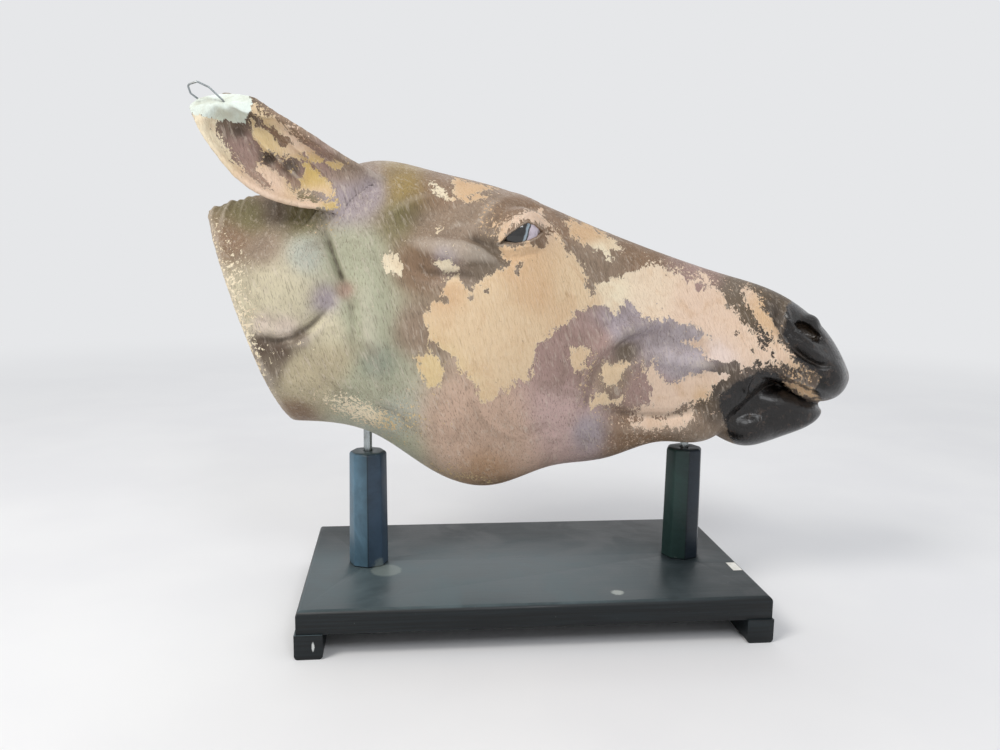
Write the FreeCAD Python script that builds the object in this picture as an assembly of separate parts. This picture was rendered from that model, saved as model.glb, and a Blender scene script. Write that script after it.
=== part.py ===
import FreeCAD, Part

import math
import os

# A life-size plaster horse head that rests on two steel rods over a painted wooden stand.
# Lengths are in millimetres. +X runs from the neck to the muzzle, +Z is up, and +Y is the
# animal's left. The origin is on the floor, under the middle of the whole piece's length.

V = FreeCAD.Vector

# Head casting
HEAD_LENGTH = 761.0         # upper edge of the neck to the front of the upper lip
HEAD_HEIGHT = 376.0         # lowest point of the jaw to the poll
HEAD_HALF_WIDTH = 105.0     # middle plane to the rim of the eye socket
HEAD_FRONT = 382.5          # front of the upper lip, from the origin
HEAD_OVER_POST = 13.1       # top of the front post to the underside of the head
PLASTER_WALL = 12.0
HOLLOW_END_MARGIN = 2.6     # front block to the end of the hollow
SEAT_GAP = 0.3              # between curved faces that meet
CUT_OVERRUN = 5.0

# Eyes and nostrils
EYE_RADIUS = 26.0
NOSTRIL_HALF_LENGTH = 25.0
NOSTRIL_HALF_WIDTH = 9.0
NOSTRIL_DEPTH = 17.0
NOSTRIL_SLOPE_DEG = 42.0

# Ears
EAR_LENGTH = 200.0
EAR_HALF_WIDTH = 42.0
EAR_DEPTH = 33.0            # rim of the cup to its back
EAR_LEAN_DEG = 33.7         # rise of the ear's axis towards its tip
BREAK_FROM_ROOT = 170.0     # root of the right ear to the middle of its broken edge
BREAK_TURN_DEG = 45.8       # slant of the broken edge across the ear
BREAK_BEVEL_DEG = 39.0      # slant of the broken face through the ear's wall
BREAK_DEPTH = 22.0          # rim of the ear to the inner end of the broken face

# Armature wire of the ears
WIRE_RADIUS = 1.0
WIRE_CLEARANCE = 0.05
WIRE_BEND_RADIUS = 3.0
WIRE_BEND_SHARE = 0.45      # the most of a straight run that one bend takes

# Timber and steel inside the head
BLOCK_LENGTH = 60.0
BLOCK_WIDTH = 44.0
BLOCK_HEIGHT = 66.0
BLOCK_LIFT = 20.0           # inside of the casting under a rod up to its block
SOCKET_DEPTH = 54.0         # lower face of a block up to the top of its rod
BEDDING_MARGIN = 14.0       # bedding plaster in front of and behind a block
BEDDING_RISE = 22.0         # bedding plaster up the sides of a block
SLEEVE_RADIUS = 7.0
SLEEVE_END = 4.0            # closed end of a sleeve
SLEEVE_CLEARANCE = 0.05
SCRIM_WIDTH = 64.0
SCRIM_THICKNESS = 4.0
SCRIM_INSET = 28.0          # neck's edge to the start of the upper scrim
BRACE_HEIGHT = 15.0
BRACE_DEPTH = 36.0
BRACE_CLEARANCE = 1.5       # rear block back to the brace

# Wooden stand
BOARD_WIDTH = 280.0
BOARD_THICKNESS = 26.0
BOARD_EDGE_RADIUS = 6.0
RUNNER_HEIGHT = 27.0
RUNNER_WIDTH = 30.0
RUNNER_PROUD = 2.0          # runners stand out past the board at its ends
RUNNER_FRONT_PROUD = 1.5    # and at its front and back
RUNNER_EDGE_RADIUS = 4.5
POST_CORNER_RADIUS = 22.0   # of the octagon, at the top
POST_FOOT_SPREAD = 1.3      # a post's foot is wider than its top
POST_HEIGHT = 138.0
POST_CHAMFER = 2.5
POST_SIDES = 8
POST_CORNER_DEG = -90       # one corner points to the front
REAR_POST_INSET = 71.0      # board's neck end to the rear post
FRONT_POST_INSET = 63.0     # board's muzzle end to the front post

# Rods and fasteners
ROD_RADIUS = 5.0
ROD_STUB = 2.0              # end of a rod below its nut
ROD_CHAMFER = 1.0
ROD_CLEARANCE = 0.08
ROD_HOLE_RADIUS = 8.0       # hole in the plaster under the jaw and throat
COUNTERBORE_RADIUS = 13.0
COUNTERBORE_DEPTH = 14.0
WASHER_RADIUS = 10.5
WASHER_THICKNESS = 2.0
NUT_CORNER_RADIUS = 9.8
NUT_HEIGHT = 8.0
NUT_SIDES = 6
SCREW_RADIUS = 2.0
SCREW_LENGTH = 42.0
SCREW_HEAD_RADIUS = 4.0
SCREW_HEAD_HEIGHT = 2.5
SCREW_RECESS = 0.5
SCREW_CLEARANCE = 0.1
SCREW_SPACING = 105.0
SCREWS_PER_RUNNER = 3

# Blank paper sticker on the board
STICKER_LENGTH = 25.0
STICKER_WIDTH = 11.0
STICKER_THICKNESS = 0.25
STICKER_END_INSET = 10.0
STICKER_FROM_MIDDLE = 48.0

# Places on the head as shares of its length, half width and height.
EYE_SHARES = (0.447, 0.686, 0.790)
NOSTRIL_SHARES = (0.908, 0.524, 0.508)
EAR_ROOT_SHARES = (0.2162, 0.762, 0.904)
REAR_ROD_SHARE = 0.23
FRONT_ROD_SHARE = 0.737
SCRIM_END_SHARE = 0.70

# Half widths of a section of the head are given at these depths below its top.
DEPTH_SHARES = (0.05, 0.2, 0.4, 0.6, 0.8, 0.95)

# Sections of the head from the neck to the lip: place along the head as a share of its
# length, top and bottom as shares of its height, and half widths as shares of its half width.
HEAD_SHARES = (
    (-0.08, 0.807, 0.220, (0.19, 0.46, 0.65, 0.72, 0.65, 0.32)),
    (0.00, 0.846, 0.211, (0.19, 0.48, 0.67, 0.74, 0.67, 0.33)),
    (0.08, 0.884, 0.211, (0.23, 0.51, 0.70, 0.79, 0.70, 0.35)),
    (0.16, 0.942, 0.206, (0.30, 0.59, 0.74, 0.81, 0.70, 0.37)),
    (0.24, 0.997, 0.167, (0.43, 0.70, 0.80, 0.84, 0.73, 0.41)),
    (0.33, 0.973, 0.048, (0.48, 0.82, 0.92, 0.90, 0.76, 0.48)),
    (0.42, 0.931, 0.000, (0.57, 0.96, 0.98, 0.90, 0.74, 0.50)),
    (0.51, 0.865, 0.058, (0.50, 0.78, 0.87, 0.82, 0.67, 0.46)),
    (0.60, 0.793, 0.082, (0.40, 0.57, 0.71, 0.68, 0.55, 0.40)),
    (0.69, 0.729, 0.134, (0.34, 0.47, 0.58, 0.56, 0.47, 0.36)),
    (0.78, 0.673, 0.153, (0.31, 0.43, 0.52, 0.52, 0.45, 0.32)),
    (0.86, 0.623, 0.324, (0.29, 0.43, 0.51, 0.55, 0.50, 0.32)),
    (0.92, 0.557, 0.279, (0.27, 0.44, 0.55, 0.58, 0.50, 0.30)),
    (0.965, 0.472, 0.266, (0.19, 0.34, 0.44, 0.46, 0.42, 0.25)),
    (0.992, 0.390, 0.314, (0.09, 0.16, 0.22, 0.24, 0.20, 0.10)),
    (1.00, 0.369, 0.341, (0.02, 0.05, 0.07, 0.07, 0.06, 0.03)),
)

LOWER_LIP_SHARES = (
    (0.695, 0.266, 0.149, (0.10, 0.24, 0.31, 0.31, 0.26, 0.13)),
    (0.780, 0.324, 0.157, (0.11, 0.26, 0.34, 0.35, 0.30, 0.16)),
    (0.840, 0.356, 0.114, (0.12, 0.27, 0.35, 0.38, 0.34, 0.19)),
    (0.886, 0.312, 0.141, (0.13, 0.28, 0.37, 0.39, 0.33, 0.19)),
    (0.932, 0.266, 0.181, (0.11, 0.24, 0.32, 0.33, 0.28, 0.15)),
    (0.954, 0.247, 0.211, (0.07, 0.13, 0.18, 0.18, 0.15, 0.09)),
    (0.961, 0.239, 0.223, (0.02, 0.04, 0.06, 0.06, 0.05, 0.03)),
)

# Upper and lower end of the cut across the neck: place along the head and level.
NECK_CUT_SHARES = ((-0.003, 0.865), (0.122, 0.191))

# Sections of an ear from its root to its tip: place along the ear, middle and half width
# across it, depth of the back and of the cup, and tuck of the rim towards the head.
EAR_SHARES = (
    (-0.225, 0.10, 0.50, 0.90, 0.06, 0.82),
    (-0.050, 0.02, 0.66, 0.97, 0.15, 0.48),
    (0.075, -0.14, 0.76, 1.00, 0.35, 0.24),
    (0.225, -0.33, 0.91, 1.00, 0.73, 0.07),
    (0.400, -0.44, 1.00, 0.97, 0.76, 0.00),
    (0.550, -0.43, 0.95, 0.88, 0.67, 0.00),
    (0.700, -0.31, 0.83, 0.76, 0.55, 0.00),
    (0.825, -0.19, 0.67, 0.61, 0.39, 0.05),
    (0.930, -0.05, 0.42, 0.43, 0.22, 0.10),
    (0.990, 0.04, 0.14, 0.18, 0.08, 0.15),
)
CUP_WIDTH_SHARE = 0.82
ARC_STEPS = 6

# Both ends of the straight wire inside an ear, and the exposed loop that goes on from it in
# the right ear: place along the ear as a share of its length, across it as a share of its
# half width, and depth below the rim as a share of the ear's depth.
WIRE_START_SHARES = (0.30, -0.22, 0.85)
WIRE_END_SHARES = (0.70, -0.19, 0.67)
WIRE_LOOP_SHARES = (
    (0.775, 0.00, 0.17),
    (0.860, 0.07, 0.10),
    (0.922, 0.02, 0.10),
    (0.955, -0.17, 0.15),
    (0.925, -0.30, 0.24),
    (0.885, -0.31, 0.34),
)


def board_top():
    """Level of the board's upper face."""
    return RUNNER_HEIGHT + BOARD_THICKNESS


def underside_share(place_share):
    """Underside of the head at one place along it, as a share of its height."""
    for before, after in zip(HEAD_SHARES, HEAD_SHARES[1:]):
        if before[0] <= place_share < after[0]:
            part_share = (place_share - before[0]) / (after[0] - before[0])
            return before[2] + (after[2] - before[2]) * part_share
    raise RuntimeError("no section of the head reaches this place")


def jaw_level():
    """Lowest level of the head above the floor."""
    rise = underside_share(FRONT_ROD_SHARE) * HEAD_HEIGHT
    return board_top() + POST_HEIGHT + HEAD_OVER_POST - rise


def along(share):
    """Place along the head of a share of its length."""
    return HEAD_FRONT - HEAD_LENGTH + share * HEAD_LENGTH


def level(share):
    """Level above the floor of a share of the head's height."""
    return jaw_level() + share * HEAD_HEIGHT


def on_head(shares):
    """A place on the left of the head from its three shares."""
    along_share, across_share, level_share = shares
    return V(along(along_share), across_share * HEAD_HALF_WIDTH, level(level_share))


def mirrored(shape):
    """The same shape on the other side of the middle plane."""
    return shape.mirror(V(0, 0, 0), V(0, 1, 0))


def both_halves(half):
    """One solid from a left half and its mirror image."""
    return half.fuse(mirrored(half))


def half_space(point, normal, reach):
    """A box whose one face passes through the point and that lies on the normal's side."""
    box = Part.makeBox(reach * 2, reach * 2, reach, V(-reach, -reach, 0))
    box.Placement = FreeCAD.Placement(point, FreeCAD.Rotation(V(0, 0, 1), normal))
    return box


def centred_box(middle, size):
    """A box around a middle point."""
    corner = middle - size * 0.5
    return Part.makeBox(size.x, size.y, size.z, corner)


def upright(radius, bottom, top, x, y=0.0):
    """An upright cylinder between two levels."""
    return Part.makeCylinder(radius, top - bottom, V(x, y, bottom))


def section_points(row, inset):
    """Left half of one section of the head, top to bottom, moved inwards by the inset."""
    place_share, top_share, bottom_share, width_shares = row
    x = along(place_share)
    top = level(top_share)
    bottom = level(bottom_share)
    outline = [(0, top)]
    for depth_share, width_share in zip(DEPTH_SHARES, width_shares):
        outline.append((width_share * HEAD_HALF_WIDTH, top - depth_share * (top - bottom)))
    outline.append((0, bottom))
    points = [V(x, 0, top - inset)]
    for before, here, after in zip(outline, outline[1:], outline[2:]):
        run_y = after[0] - before[0]
        run_z = after[1] - before[1]
        share = inset / math.hypot(run_y, run_z)
        points.append(V(x, here[0] + run_z * share, here[1] - run_y * share))
    points.append(V(x, 0, bottom + inset))
    return points


def half_loft(rows, inset):
    """Left half of a lofted body through its sections."""
    wires = []
    for row in rows:
        left = section_points(row, inset)
        right = [V(point.x, -point.y, point.z) for point in left[-2:0:-1]]
        curve = Part.BSplineCurve()
        curve.interpolate(Points=left + right, PeriodicFlag=True)
        top_place = curve.FirstParameter
        bottom_place = (curve.FirstParameter + curve.LastParameter) / 2
        curve.segment(top_place, bottom_place)
        closing = Part.makeLine(curve.EndPoint, curve.StartPoint)
        wires.append(Part.Wire([curve.toShape(), closing]))
    return Part.makeLoft(wires, True, False)


def behind_neck_cut(inset):
    """Everything behind the cut across the neck, moved towards the muzzle by the inset."""
    upper = V(along(NECK_CUT_SHARES[0][0]), 0, level(NECK_CUT_SHARES[0][1]))
    lower = V(along(NECK_CUT_SHARES[1][0]), 0, level(NECK_CUT_SHARES[1][1]))
    line = (upper - lower).normalize()
    back = V(-line.z, 0, line.x)
    middle = (upper + lower) * 0.5
    return half_space(middle - back * inset, back, HEAD_LENGTH)


def hollow(extra):
    """Left half of the space inside the casting, drawn in further by the extra."""
    space = half_loft(HEAD_SHARES[:-3], PLASTER_WALL + extra)
    end_x = rod_places()["front"] + BLOCK_LENGTH / 2 + HOLLOW_END_MARGIN
    return space.cut(half_space(V(end_x - extra, 0, level(0.5)), V(1, 0, 0), HEAD_LENGTH))


def rod_places():
    """Where the rear and the front rod stand along X."""
    return {"rear": along(REAR_ROD_SHARE), "front": along(FRONT_ROD_SHARE)}


def block_level(x):
    """Lower face of the socket block over one rod, from the underside of the head there."""
    place_share = (x - along(0)) / HEAD_LENGTH
    return level(underside_share(place_share)) + PLASTER_WALL + BLOCK_LIFT


def rod_top(x):
    """Upper end of one rod."""
    return block_level(x) + SOCKET_DEPTH


def eyeball(radius):
    """The left eyeball, or the seat that it lies in."""
    return Part.makeSphere(radius, on_head(EYE_SHARES))


def nostril():
    """Pocket of the left nostril, a flattened egg that slopes down to the lip."""
    shape = Part.makeSphere(1)
    sizes = FreeCAD.Matrix()
    sizes.scale(NOSTRIL_HALF_LENGTH, NOSTRIL_DEPTH, NOSTRIL_HALF_WIDTH)
    shape = shape.transformGeometry(sizes)
    shape.rotate(V(0, 0, 0), V(0, 1, 0), NOSTRIL_SLOPE_DEG)
    shape.translate(on_head(NOSTRIL_SHARES))
    return shape


def head_shell_left():
    """Left half of the plaster casting, open at the neck."""
    body = half_loft(HEAD_SHARES, 0).fuse(half_loft(LOWER_LIP_SHARES, 0))
    body = body.cut(hollow(0))
    body = body.cut(behind_neck_cut(0))
    body = body.cut(eyeball(EYE_RADIUS + SEAT_GAP))
    body = body.cut(nostril())
    for x in rod_places().values():
        body = body.cut(upright(ROD_HOLE_RADIUS, jaw_level(), block_level(x), x))
    return body


def ear_point(place, across, depth):
    """A point of the left ear: along its axis, across it, and inwards from its rim."""
    lean = math.radians(EAR_LEAN_DEG)
    axis = V(-math.cos(lean), 0, math.sin(lean))
    side = V(math.sin(lean), 0, math.cos(lean))
    return on_head(EAR_ROOT_SHARES) + axis * place + side * across - V(0, depth, 0)


def ear_arc(row, width, depth):
    """One half-round side of an ear's section, from its upper to its lower rim."""
    place_share, middle_share, _, _, _, tuck_share = row
    points = []
    for step in range(ARC_STEPS + 1):
        turn = math.pi * step / ARC_STEPS
        across = middle_share * EAR_HALF_WIDTH + width * math.cos(turn)
        inwards = tuck_share * EAR_DEPTH + depth * math.sin(turn)
        points.append(ear_point(place_share * EAR_LENGTH, across, inwards))
    return points


def ear_left():
    """Left ear as a leaf-shaped cup that opens outwards, seated on the head's surface."""
    wires = []
    for row in EAR_SHARES:
        _, _, width_share, back_share, cup_share, _ = row
        width = width_share * EAR_HALF_WIDTH
        back = ear_arc(row, width, back_share * EAR_DEPTH)
        cup = ear_arc(row, width * CUP_WIDTH_SHARE, cup_share * EAR_DEPTH)
        cup.reverse()
        back_curve = Part.BSplineCurve()
        back_curve.interpolate(back)
        cup_curve = Part.BSplineCurve()
        cup_curve.interpolate(cup)
        lower_rim = Part.makeLine(back[-1], cup[0])
        upper_rim = Part.makeLine(cup[-1], back[0])
        edges = [back_curve.toShape(), lower_rim, cup_curve.toShape(), upper_rim]
        wires.append(Part.Wire(edges))
    leaf = Part.makeLoft(wires, True, False)
    leaf = leaf.cut(half_loft(HEAD_SHARES, -SEAT_GAP))
    return leaf.cut(buried_wire(WIRE_RADIUS + WIRE_CLEARANCE))


def beyond_break():
    """Everything past the slanting break at the tip of an ear, on the left side."""
    turn = math.radians(EAR_LEAN_DEG + BREAK_TURN_DEG)
    bevel = math.radians(BREAK_BEVEL_DEG)
    outwards = V(-math.cos(turn), 0, math.sin(turn)) * math.cos(bevel)
    normal = outwards + V(0, math.sin(bevel), 0)
    return half_space(ear_point(BREAK_FROM_ROOT, 0, BREAK_DEPTH), normal, EAR_LENGTH)


def rounded_path(points, radius):
    """Straight runs through the points with a tangent arc at each corner."""
    edges = []
    start = points[0]
    for corner, after in zip(points[1:], points[2:]):
        arriving = (corner - start).normalize()
        leaving = (after - corner).normalize()
        turn = arriving.getAngle(leaving)
        shorter = min((corner - start).Length, (after - corner).Length)
        tangent = min(radius * math.tan(turn / 2), shorter * WIRE_BEND_SHARE)
        arc_start = corner - arriving * tangent
        arc_end = corner + leaving * tangent
        inwards = (leaving - arriving).normalize()
        bend = tangent / math.tan(turn / 2)
        centre = corner + inwards * (bend / math.cos(turn / 2))
        edges.append(Part.makeLine(start, arc_start))
        edges.append(Part.Arc(arc_start, centre - inwards * bend, arc_end).toShape())
        start = arc_end
    edges.append(Part.makeLine(start, points[-1]))
    return Part.Wire(edges)


def wire_point(shares):
    """A point of an ear's wire from its three shares."""
    place_share, across_share, depth_share = shares
    across = across_share * EAR_HALF_WIDTH
    return ear_point(place_share * EAR_LENGTH, across, depth_share * EAR_DEPTH)


def buried_wire(radius):
    """Straight wire inside the wall of the left ear."""
    start = wire_point(WIRE_START_SHARES)
    run = wire_point(WIRE_END_SHARES) - start
    return Part.makeCylinder(radius, run.Length, start, run)


def looped_wire(radius):
    """Wire of a broken ear, which comes out of the plaster in an open loop."""
    all_shares = (WIRE_START_SHARES, WIRE_END_SHARES) + WIRE_LOOP_SHARES
    points = [wire_point(shares) for shares in all_shares]
    path = rounded_path(points, WIRE_BEND_RADIUS)
    direction = points[1] - points[0]
    profile = Part.Wire([Part.makeCircle(radius, points[0], direction)])
    return path.makePipeShell([profile], True, False)


def ear_right():
    """Right ear, broken off at its tip."""
    broken = ear_left().cut(beyond_break())
    broken = broken.cut(looped_wire(WIRE_RADIUS + WIRE_CLEARANCE))
    return mirrored(largest_solid(broken))


def largest_solid(shape):
    """The largest of a shape's solids, without the slips that a break leaves."""
    return max(shape.Solids, key=lambda solid: solid.Volume)


def block_box(x):
    """The space of one socket block."""
    size = V(BLOCK_LENGTH, BLOCK_WIDTH, BLOCK_HEIGHT)
    return centred_box(V(x, 0, block_level(x) + BLOCK_HEIGHT / 2), size)


def socket_block(x):
    """Wooden block inside the head, bored blind from below for a sleeve."""
    bore_radius = SLEEVE_RADIUS + SLEEVE_CLEARANCE
    bore = upright(bore_radius, block_level(x) - CUT_OVERRUN, rod_top(x) + SLEEVE_END, x)
    return block_box(x).cut(bore)


def socket_sleeve(x):
    """Steel sleeve with a closed upper end, which rests on the top of a rod."""
    foot = block_level(x)
    sleeve = upright(SLEEVE_RADIUS, foot, rod_top(x) + SLEEVE_END, x)
    return sleeve.cut(upright(ROD_RADIUS + ROD_CLEARANCE, foot - CUT_OVERRUN, rod_top(x), x))


def bedding_top(x):
    """Upper face of the bedding plaster round one block."""
    return block_level(x) + BEDDING_RISE


def block_bedding(x):
    """Plaster that beds one socket block on the inside of the casting."""
    top = bedding_top(x)
    bottom = jaw_level()
    length = BLOCK_LENGTH + BEDDING_MARGIN * 2
    size = V(length, HEAD_HALF_WIDTH * 2, top - bottom)
    bed = hollow(SEAT_GAP).common(centred_box(V(x, 0, (top + bottom) / 2), size))
    bed = bed.cut(block_box(x))
    return both_halves(bed.cut(upright(ROD_HOLE_RADIUS, bottom, top, x)))


def scrim_layer():
    """Left half of a strip of scrim that runs all round the inside of the seam."""
    layer = hollow(SEAT_GAP).cut(hollow(SEAT_GAP + SCRIM_THICKNESS))
    strip = Part.makeBox(HEAD_LENGTH * 2, SCRIM_WIDTH / 2, HEAD_HEIGHT * 2, V(-HEAD_LENGTH, 0, 0))
    return layer.common(strip)


def seam_scrim_top():
    """Plaster-soaked hessian strip under the upper seam."""
    start = along(0)
    middle_level = level(0.5)
    size = V(along(SCRIM_END_SHARE) - start, SCRIM_WIDTH * 2, HEAD_HEIGHT)
    above = Part.makeBox(size.x, size.y, size.z, V(start, -SCRIM_WIDTH, middle_level))
    return both_halves(scrim_layer().common(above).cut(behind_neck_cut(SCRIM_INSET)))


def seam_scrim_bottom():
    """Plaster-soaked hessian strip over the lower seam, between the two bedded blocks."""
    places = rod_places()
    half_bed = BLOCK_LENGTH / 2 + BEDDING_MARGIN + CUT_OVERRUN
    start = places["rear"] + half_bed
    end = places["front"] - half_bed
    below = Part.makeBox(end - start, SCRIM_WIDTH * 2, level(0.5), V(start, -SCRIM_WIDTH, 0))
    return both_halves(scrim_layer().common(below))


def neck_brace():
    """Wooden lath across the neck on the rear bedding, cut to the inside of the casting."""
    rear = rod_places()["rear"]
    x = rear - BLOCK_LENGTH / 2 - BRACE_CLEARANCE - BRACE_DEPTH / 2
    middle = V(x, 0, bedding_top(rear) + BRACE_HEIGHT / 2)
    size = V(BRACE_DEPTH, HEAD_HALF_WIDTH * 2, BRACE_HEIGHT)
    return both_halves(hollow(SEAT_GAP).common(centred_box(middle, size)))


def prism(sides, corner_radius, z, x, first_turn_deg):
    """Outline of an upright prism at one level."""
    corners = []
    for side in range(sides + 1):
        turn = math.radians(first_turn_deg + side * 360 / sides)
        corners.append(V(x + corner_radius * math.cos(turn), corner_radius * math.sin(turn), z))
    return Part.makePolygon(corners)


def board_ends():
    """The board's neck end and its muzzle end along X."""
    places = rod_places()
    return places["rear"] - REAR_POST_INSET, places["front"] + FRONT_POST_INSET


def base_board():
    """Board with rounded upper edges, bored for the rods and for their nuts."""
    start, end = board_ends()
    corner = V(start, -BOARD_WIDTH / 2, RUNNER_HEIGHT)
    board = Part.makeBox(end - start, BOARD_WIDTH, BOARD_THICKNESS, corner)
    upper_face = max(board.Faces, key=lambda face: face.CenterOfMass.z)
    board = board.makeFillet(BOARD_EDGE_RADIUS, upper_face.Edges)
    below = RUNNER_HEIGHT - CUT_OVERRUN
    for x in rod_places().values():
        board = board.cut(upright(ROD_RADIUS + ROD_CLEARANCE, below, board_top() + CUT_OVERRUN, x))
        board = board.cut(upright(COUNTERBORE_RADIUS, below, RUNNER_HEIGHT + COUNTERBORE_DEPTH, x))
    for hole in screw_shapes(SCREW_CLEARANCE):
        board = board.cut(hole)
    return board


def runner_middle(end):
    """Middle of a runner along X, at the neck end (-1) or the muzzle end (+1)."""
    neck_end, muzzle_end = board_ends()
    outer = muzzle_end if end > 0 else neck_end
    return outer + end * (RUNNER_PROUD - RUNNER_WIDTH / 2)


def runner(end):
    """Bar under one end of the board, rounded along its lower edges."""
    length = BOARD_WIDTH + RUNNER_FRONT_PROUD * 2
    size = V(RUNNER_WIDTH, length, RUNNER_HEIGHT)
    bar = centred_box(V(runner_middle(end), 0, RUNNER_HEIGHT / 2), size)
    lower_face = min(bar.Faces, key=lambda face: face.CenterOfMass.z)
    long_edges = [edge for edge in lower_face.Edges if edge.Length > RUNNER_WIDTH]
    bar = bar.makeFillet(RUNNER_EDGE_RADIUS, long_edges)
    for hole in screw_shapes(SCREW_CLEARANCE):
        bar = bar.cut(hole)
    return bar


def screw_shapes(clearance):
    """Countersunk screws through the runners, or with a clearance their holes."""
    shapes = []
    for end in (-1, 1):
        for number in range(SCREWS_PER_RUNNER):
            y = (number - (SCREWS_PER_RUNNER - 1) / 2) * SCREW_SPACING
            foot = V(runner_middle(end), y, SCREW_RECESS)
            shank = Part.makeCylinder(SCREW_RADIUS + clearance, SCREW_LENGTH, foot)
            wide = SCREW_HEAD_RADIUS + clearance
            narrow = SCREW_RADIUS + clearance
            head = Part.makeCone(wide, narrow, SCREW_HEAD_HEIGHT + clearance, foot)
            screw = shank.fuse(head)
            if clearance:
                access = V(foot.x, foot.y, foot.z - SCREW_RECESS - CUT_OVERRUN)
                depth = SCREW_RECESS + CUT_OVERRUN
                screw = screw.fuse(Part.makeCylinder(wide, depth, access))
            shapes.append(screw)
    return shapes


def runner_screws():
    """All the runner screws as one group."""
    return Part.makeCompound(screw_shapes(0))


def post(x):
    """Octagonal post with a corner to the front, a spread foot and a chamfered top."""
    foot = board_top()
    shoulder = foot + POST_HEIGHT - POST_CHAMFER
    outlines = (
        prism(POST_SIDES, POST_CORNER_RADIUS + POST_FOOT_SPREAD, foot, x, POST_CORNER_DEG),
        prism(POST_SIDES, POST_CORNER_RADIUS, shoulder, x, POST_CORNER_DEG),
        prism(POST_SIDES, POST_CORNER_RADIUS - POST_CHAMFER, foot + POST_HEIGHT, x, POST_CORNER_DEG),
    )
    body = Part.makeLoft(list(outlines), True, True)
    top = foot + POST_HEIGHT + CUT_OVERRUN
    return body.cut(upright(ROD_RADIUS + ROD_CLEARANCE, foot - CUT_OVERRUN, top, x))


def nut_top():
    """Upper face of the nuts."""
    return RUNNER_HEIGHT + COUNTERBORE_DEPTH - WASHER_THICKNESS


def rod_bottom():
    """Lower end of the rods."""
    return nut_top() - NUT_HEIGHT - ROD_STUB


def rod(x):
    """Steel rod from its nut under the board up into the head."""
    bar = upright(ROD_RADIUS, rod_bottom(), rod_top(x), x)
    ends = [edge for edge in bar.Edges if edge.Closed]
    return bar.makeChamfer(ROD_CHAMFER, ends)


def washer(x):
    """Washer against the end of the board's counterbore."""
    top = RUNNER_HEIGHT + COUNTERBORE_DEPTH
    disc = upright(WASHER_RADIUS, top - WASHER_THICKNESS, top, x)
    return disc.cut(upright(ROD_RADIUS + ROD_CLEARANCE, RUNNER_HEIGHT, top + CUT_OVERRUN, x))


def nut(x):
    """Hexagon nut under a washer."""
    top = nut_top()
    face = Part.Face(prism(NUT_SIDES, NUT_CORNER_RADIUS, top - NUT_HEIGHT, x, 0))
    body = face.extrude(V(0, 0, NUT_HEIGHT))
    return body.cut(upright(ROD_RADIUS + ROD_CLEARANCE, rod_bottom(), top + CUT_OVERRUN, x))


def blank_sticker():
    """Small blank paper sticker on the board near its muzzle end."""
    x = board_ends()[1] - STICKER_END_INSET
    middle = V(x, -STICKER_FROM_MIDDLE, board_top() + STICKER_THICKNESS / 2)
    return centred_box(middle, V(STICKER_WIDTH, STICKER_LENGTH, STICKER_THICKNESS))


def build_nodes():
    """Every piece of the sculpture and its stand, by node name."""
    shell = head_shell_left()
    places = rod_places()
    nodes = {
        "head_shell_left": shell,
        "head_shell_right": mirrored(shell),
        "ear_left": ear_left(),
        "ear_right": ear_right(),
        "ear_wire_left": buried_wire(WIRE_RADIUS),
        "ear_wire_right": mirrored(looped_wire(WIRE_RADIUS)),
        "eye_left": eyeball(EYE_RADIUS),
        "eye_right": mirrored(eyeball(EYE_RADIUS)),
        "seam_scrim_top": seam_scrim_top(),
        "seam_scrim_bottom": seam_scrim_bottom(),
        "neck_brace": neck_brace(),
        "base_board": base_board(),
        "runner_rear": runner(-1),
        "runner_front": runner(1),
        "runner_screws": runner_screws(),
        "rod_washers": Part.makeCompound([washer(x) for x in places.values()]),
        "rod_nuts": Part.makeCompound([nut(x) for x in places.values()]),
        "blank_sticker": blank_sticker(),
    }
    for name, x in places.items():
        nodes["socket_block_" + name] = socket_block(x)
        nodes["socket_sleeve_" + name] = socket_sleeve(x)
        nodes["block_bedding_" + name] = block_bedding(x)
        nodes["post_" + name] = post(x)
        nodes["rod_" + name] = rod(x)
    return nodes


def main():
    os.makedirs("parts", exist_ok=True)
    for name, shape in build_nodes().items():
        if not shape.isValid():
            raise RuntimeError(name + " is not a valid solid")
        shape.exportStep("parts/" + name + ".step")
        box = shape.BoundBox
        print(
            "%-22s solids %d  volume %9.0f  x %.1f %.1f  y %.1f %.1f  z %.1f %.1f"
            % (name, len(shape.Solids), shape.Volume, box.XMin, box.XMax,
               box.YMin, box.YMax, box.ZMin, box.ZMax)
        )


main()
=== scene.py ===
import math

import bmesh
import bpy
import numpy as np
from bpy.props import FloatProperty, FloatVectorProperty, PointerProperty
from mathutils import Matrix, Vector
from mathutils.bvhtree import BVHTree


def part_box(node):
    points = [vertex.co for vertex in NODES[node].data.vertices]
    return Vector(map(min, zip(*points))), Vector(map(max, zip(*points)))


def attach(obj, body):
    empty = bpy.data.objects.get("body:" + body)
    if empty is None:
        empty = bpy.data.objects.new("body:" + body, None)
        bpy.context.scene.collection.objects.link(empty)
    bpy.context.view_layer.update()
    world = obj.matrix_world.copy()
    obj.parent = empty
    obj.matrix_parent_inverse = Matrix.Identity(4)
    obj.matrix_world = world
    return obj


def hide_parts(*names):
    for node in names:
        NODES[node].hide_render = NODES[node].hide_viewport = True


bl_info = {
    "name": "Plaster horse head",
    "version": (1, 0, 0),
    "blender": (4, 5, 0),
    "location": "View3D > Sidebar > Horse head",
    "description": "A worn, painted plaster horse head on steel rods over a black wooden stand",
    "category": "Object",
}

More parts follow.
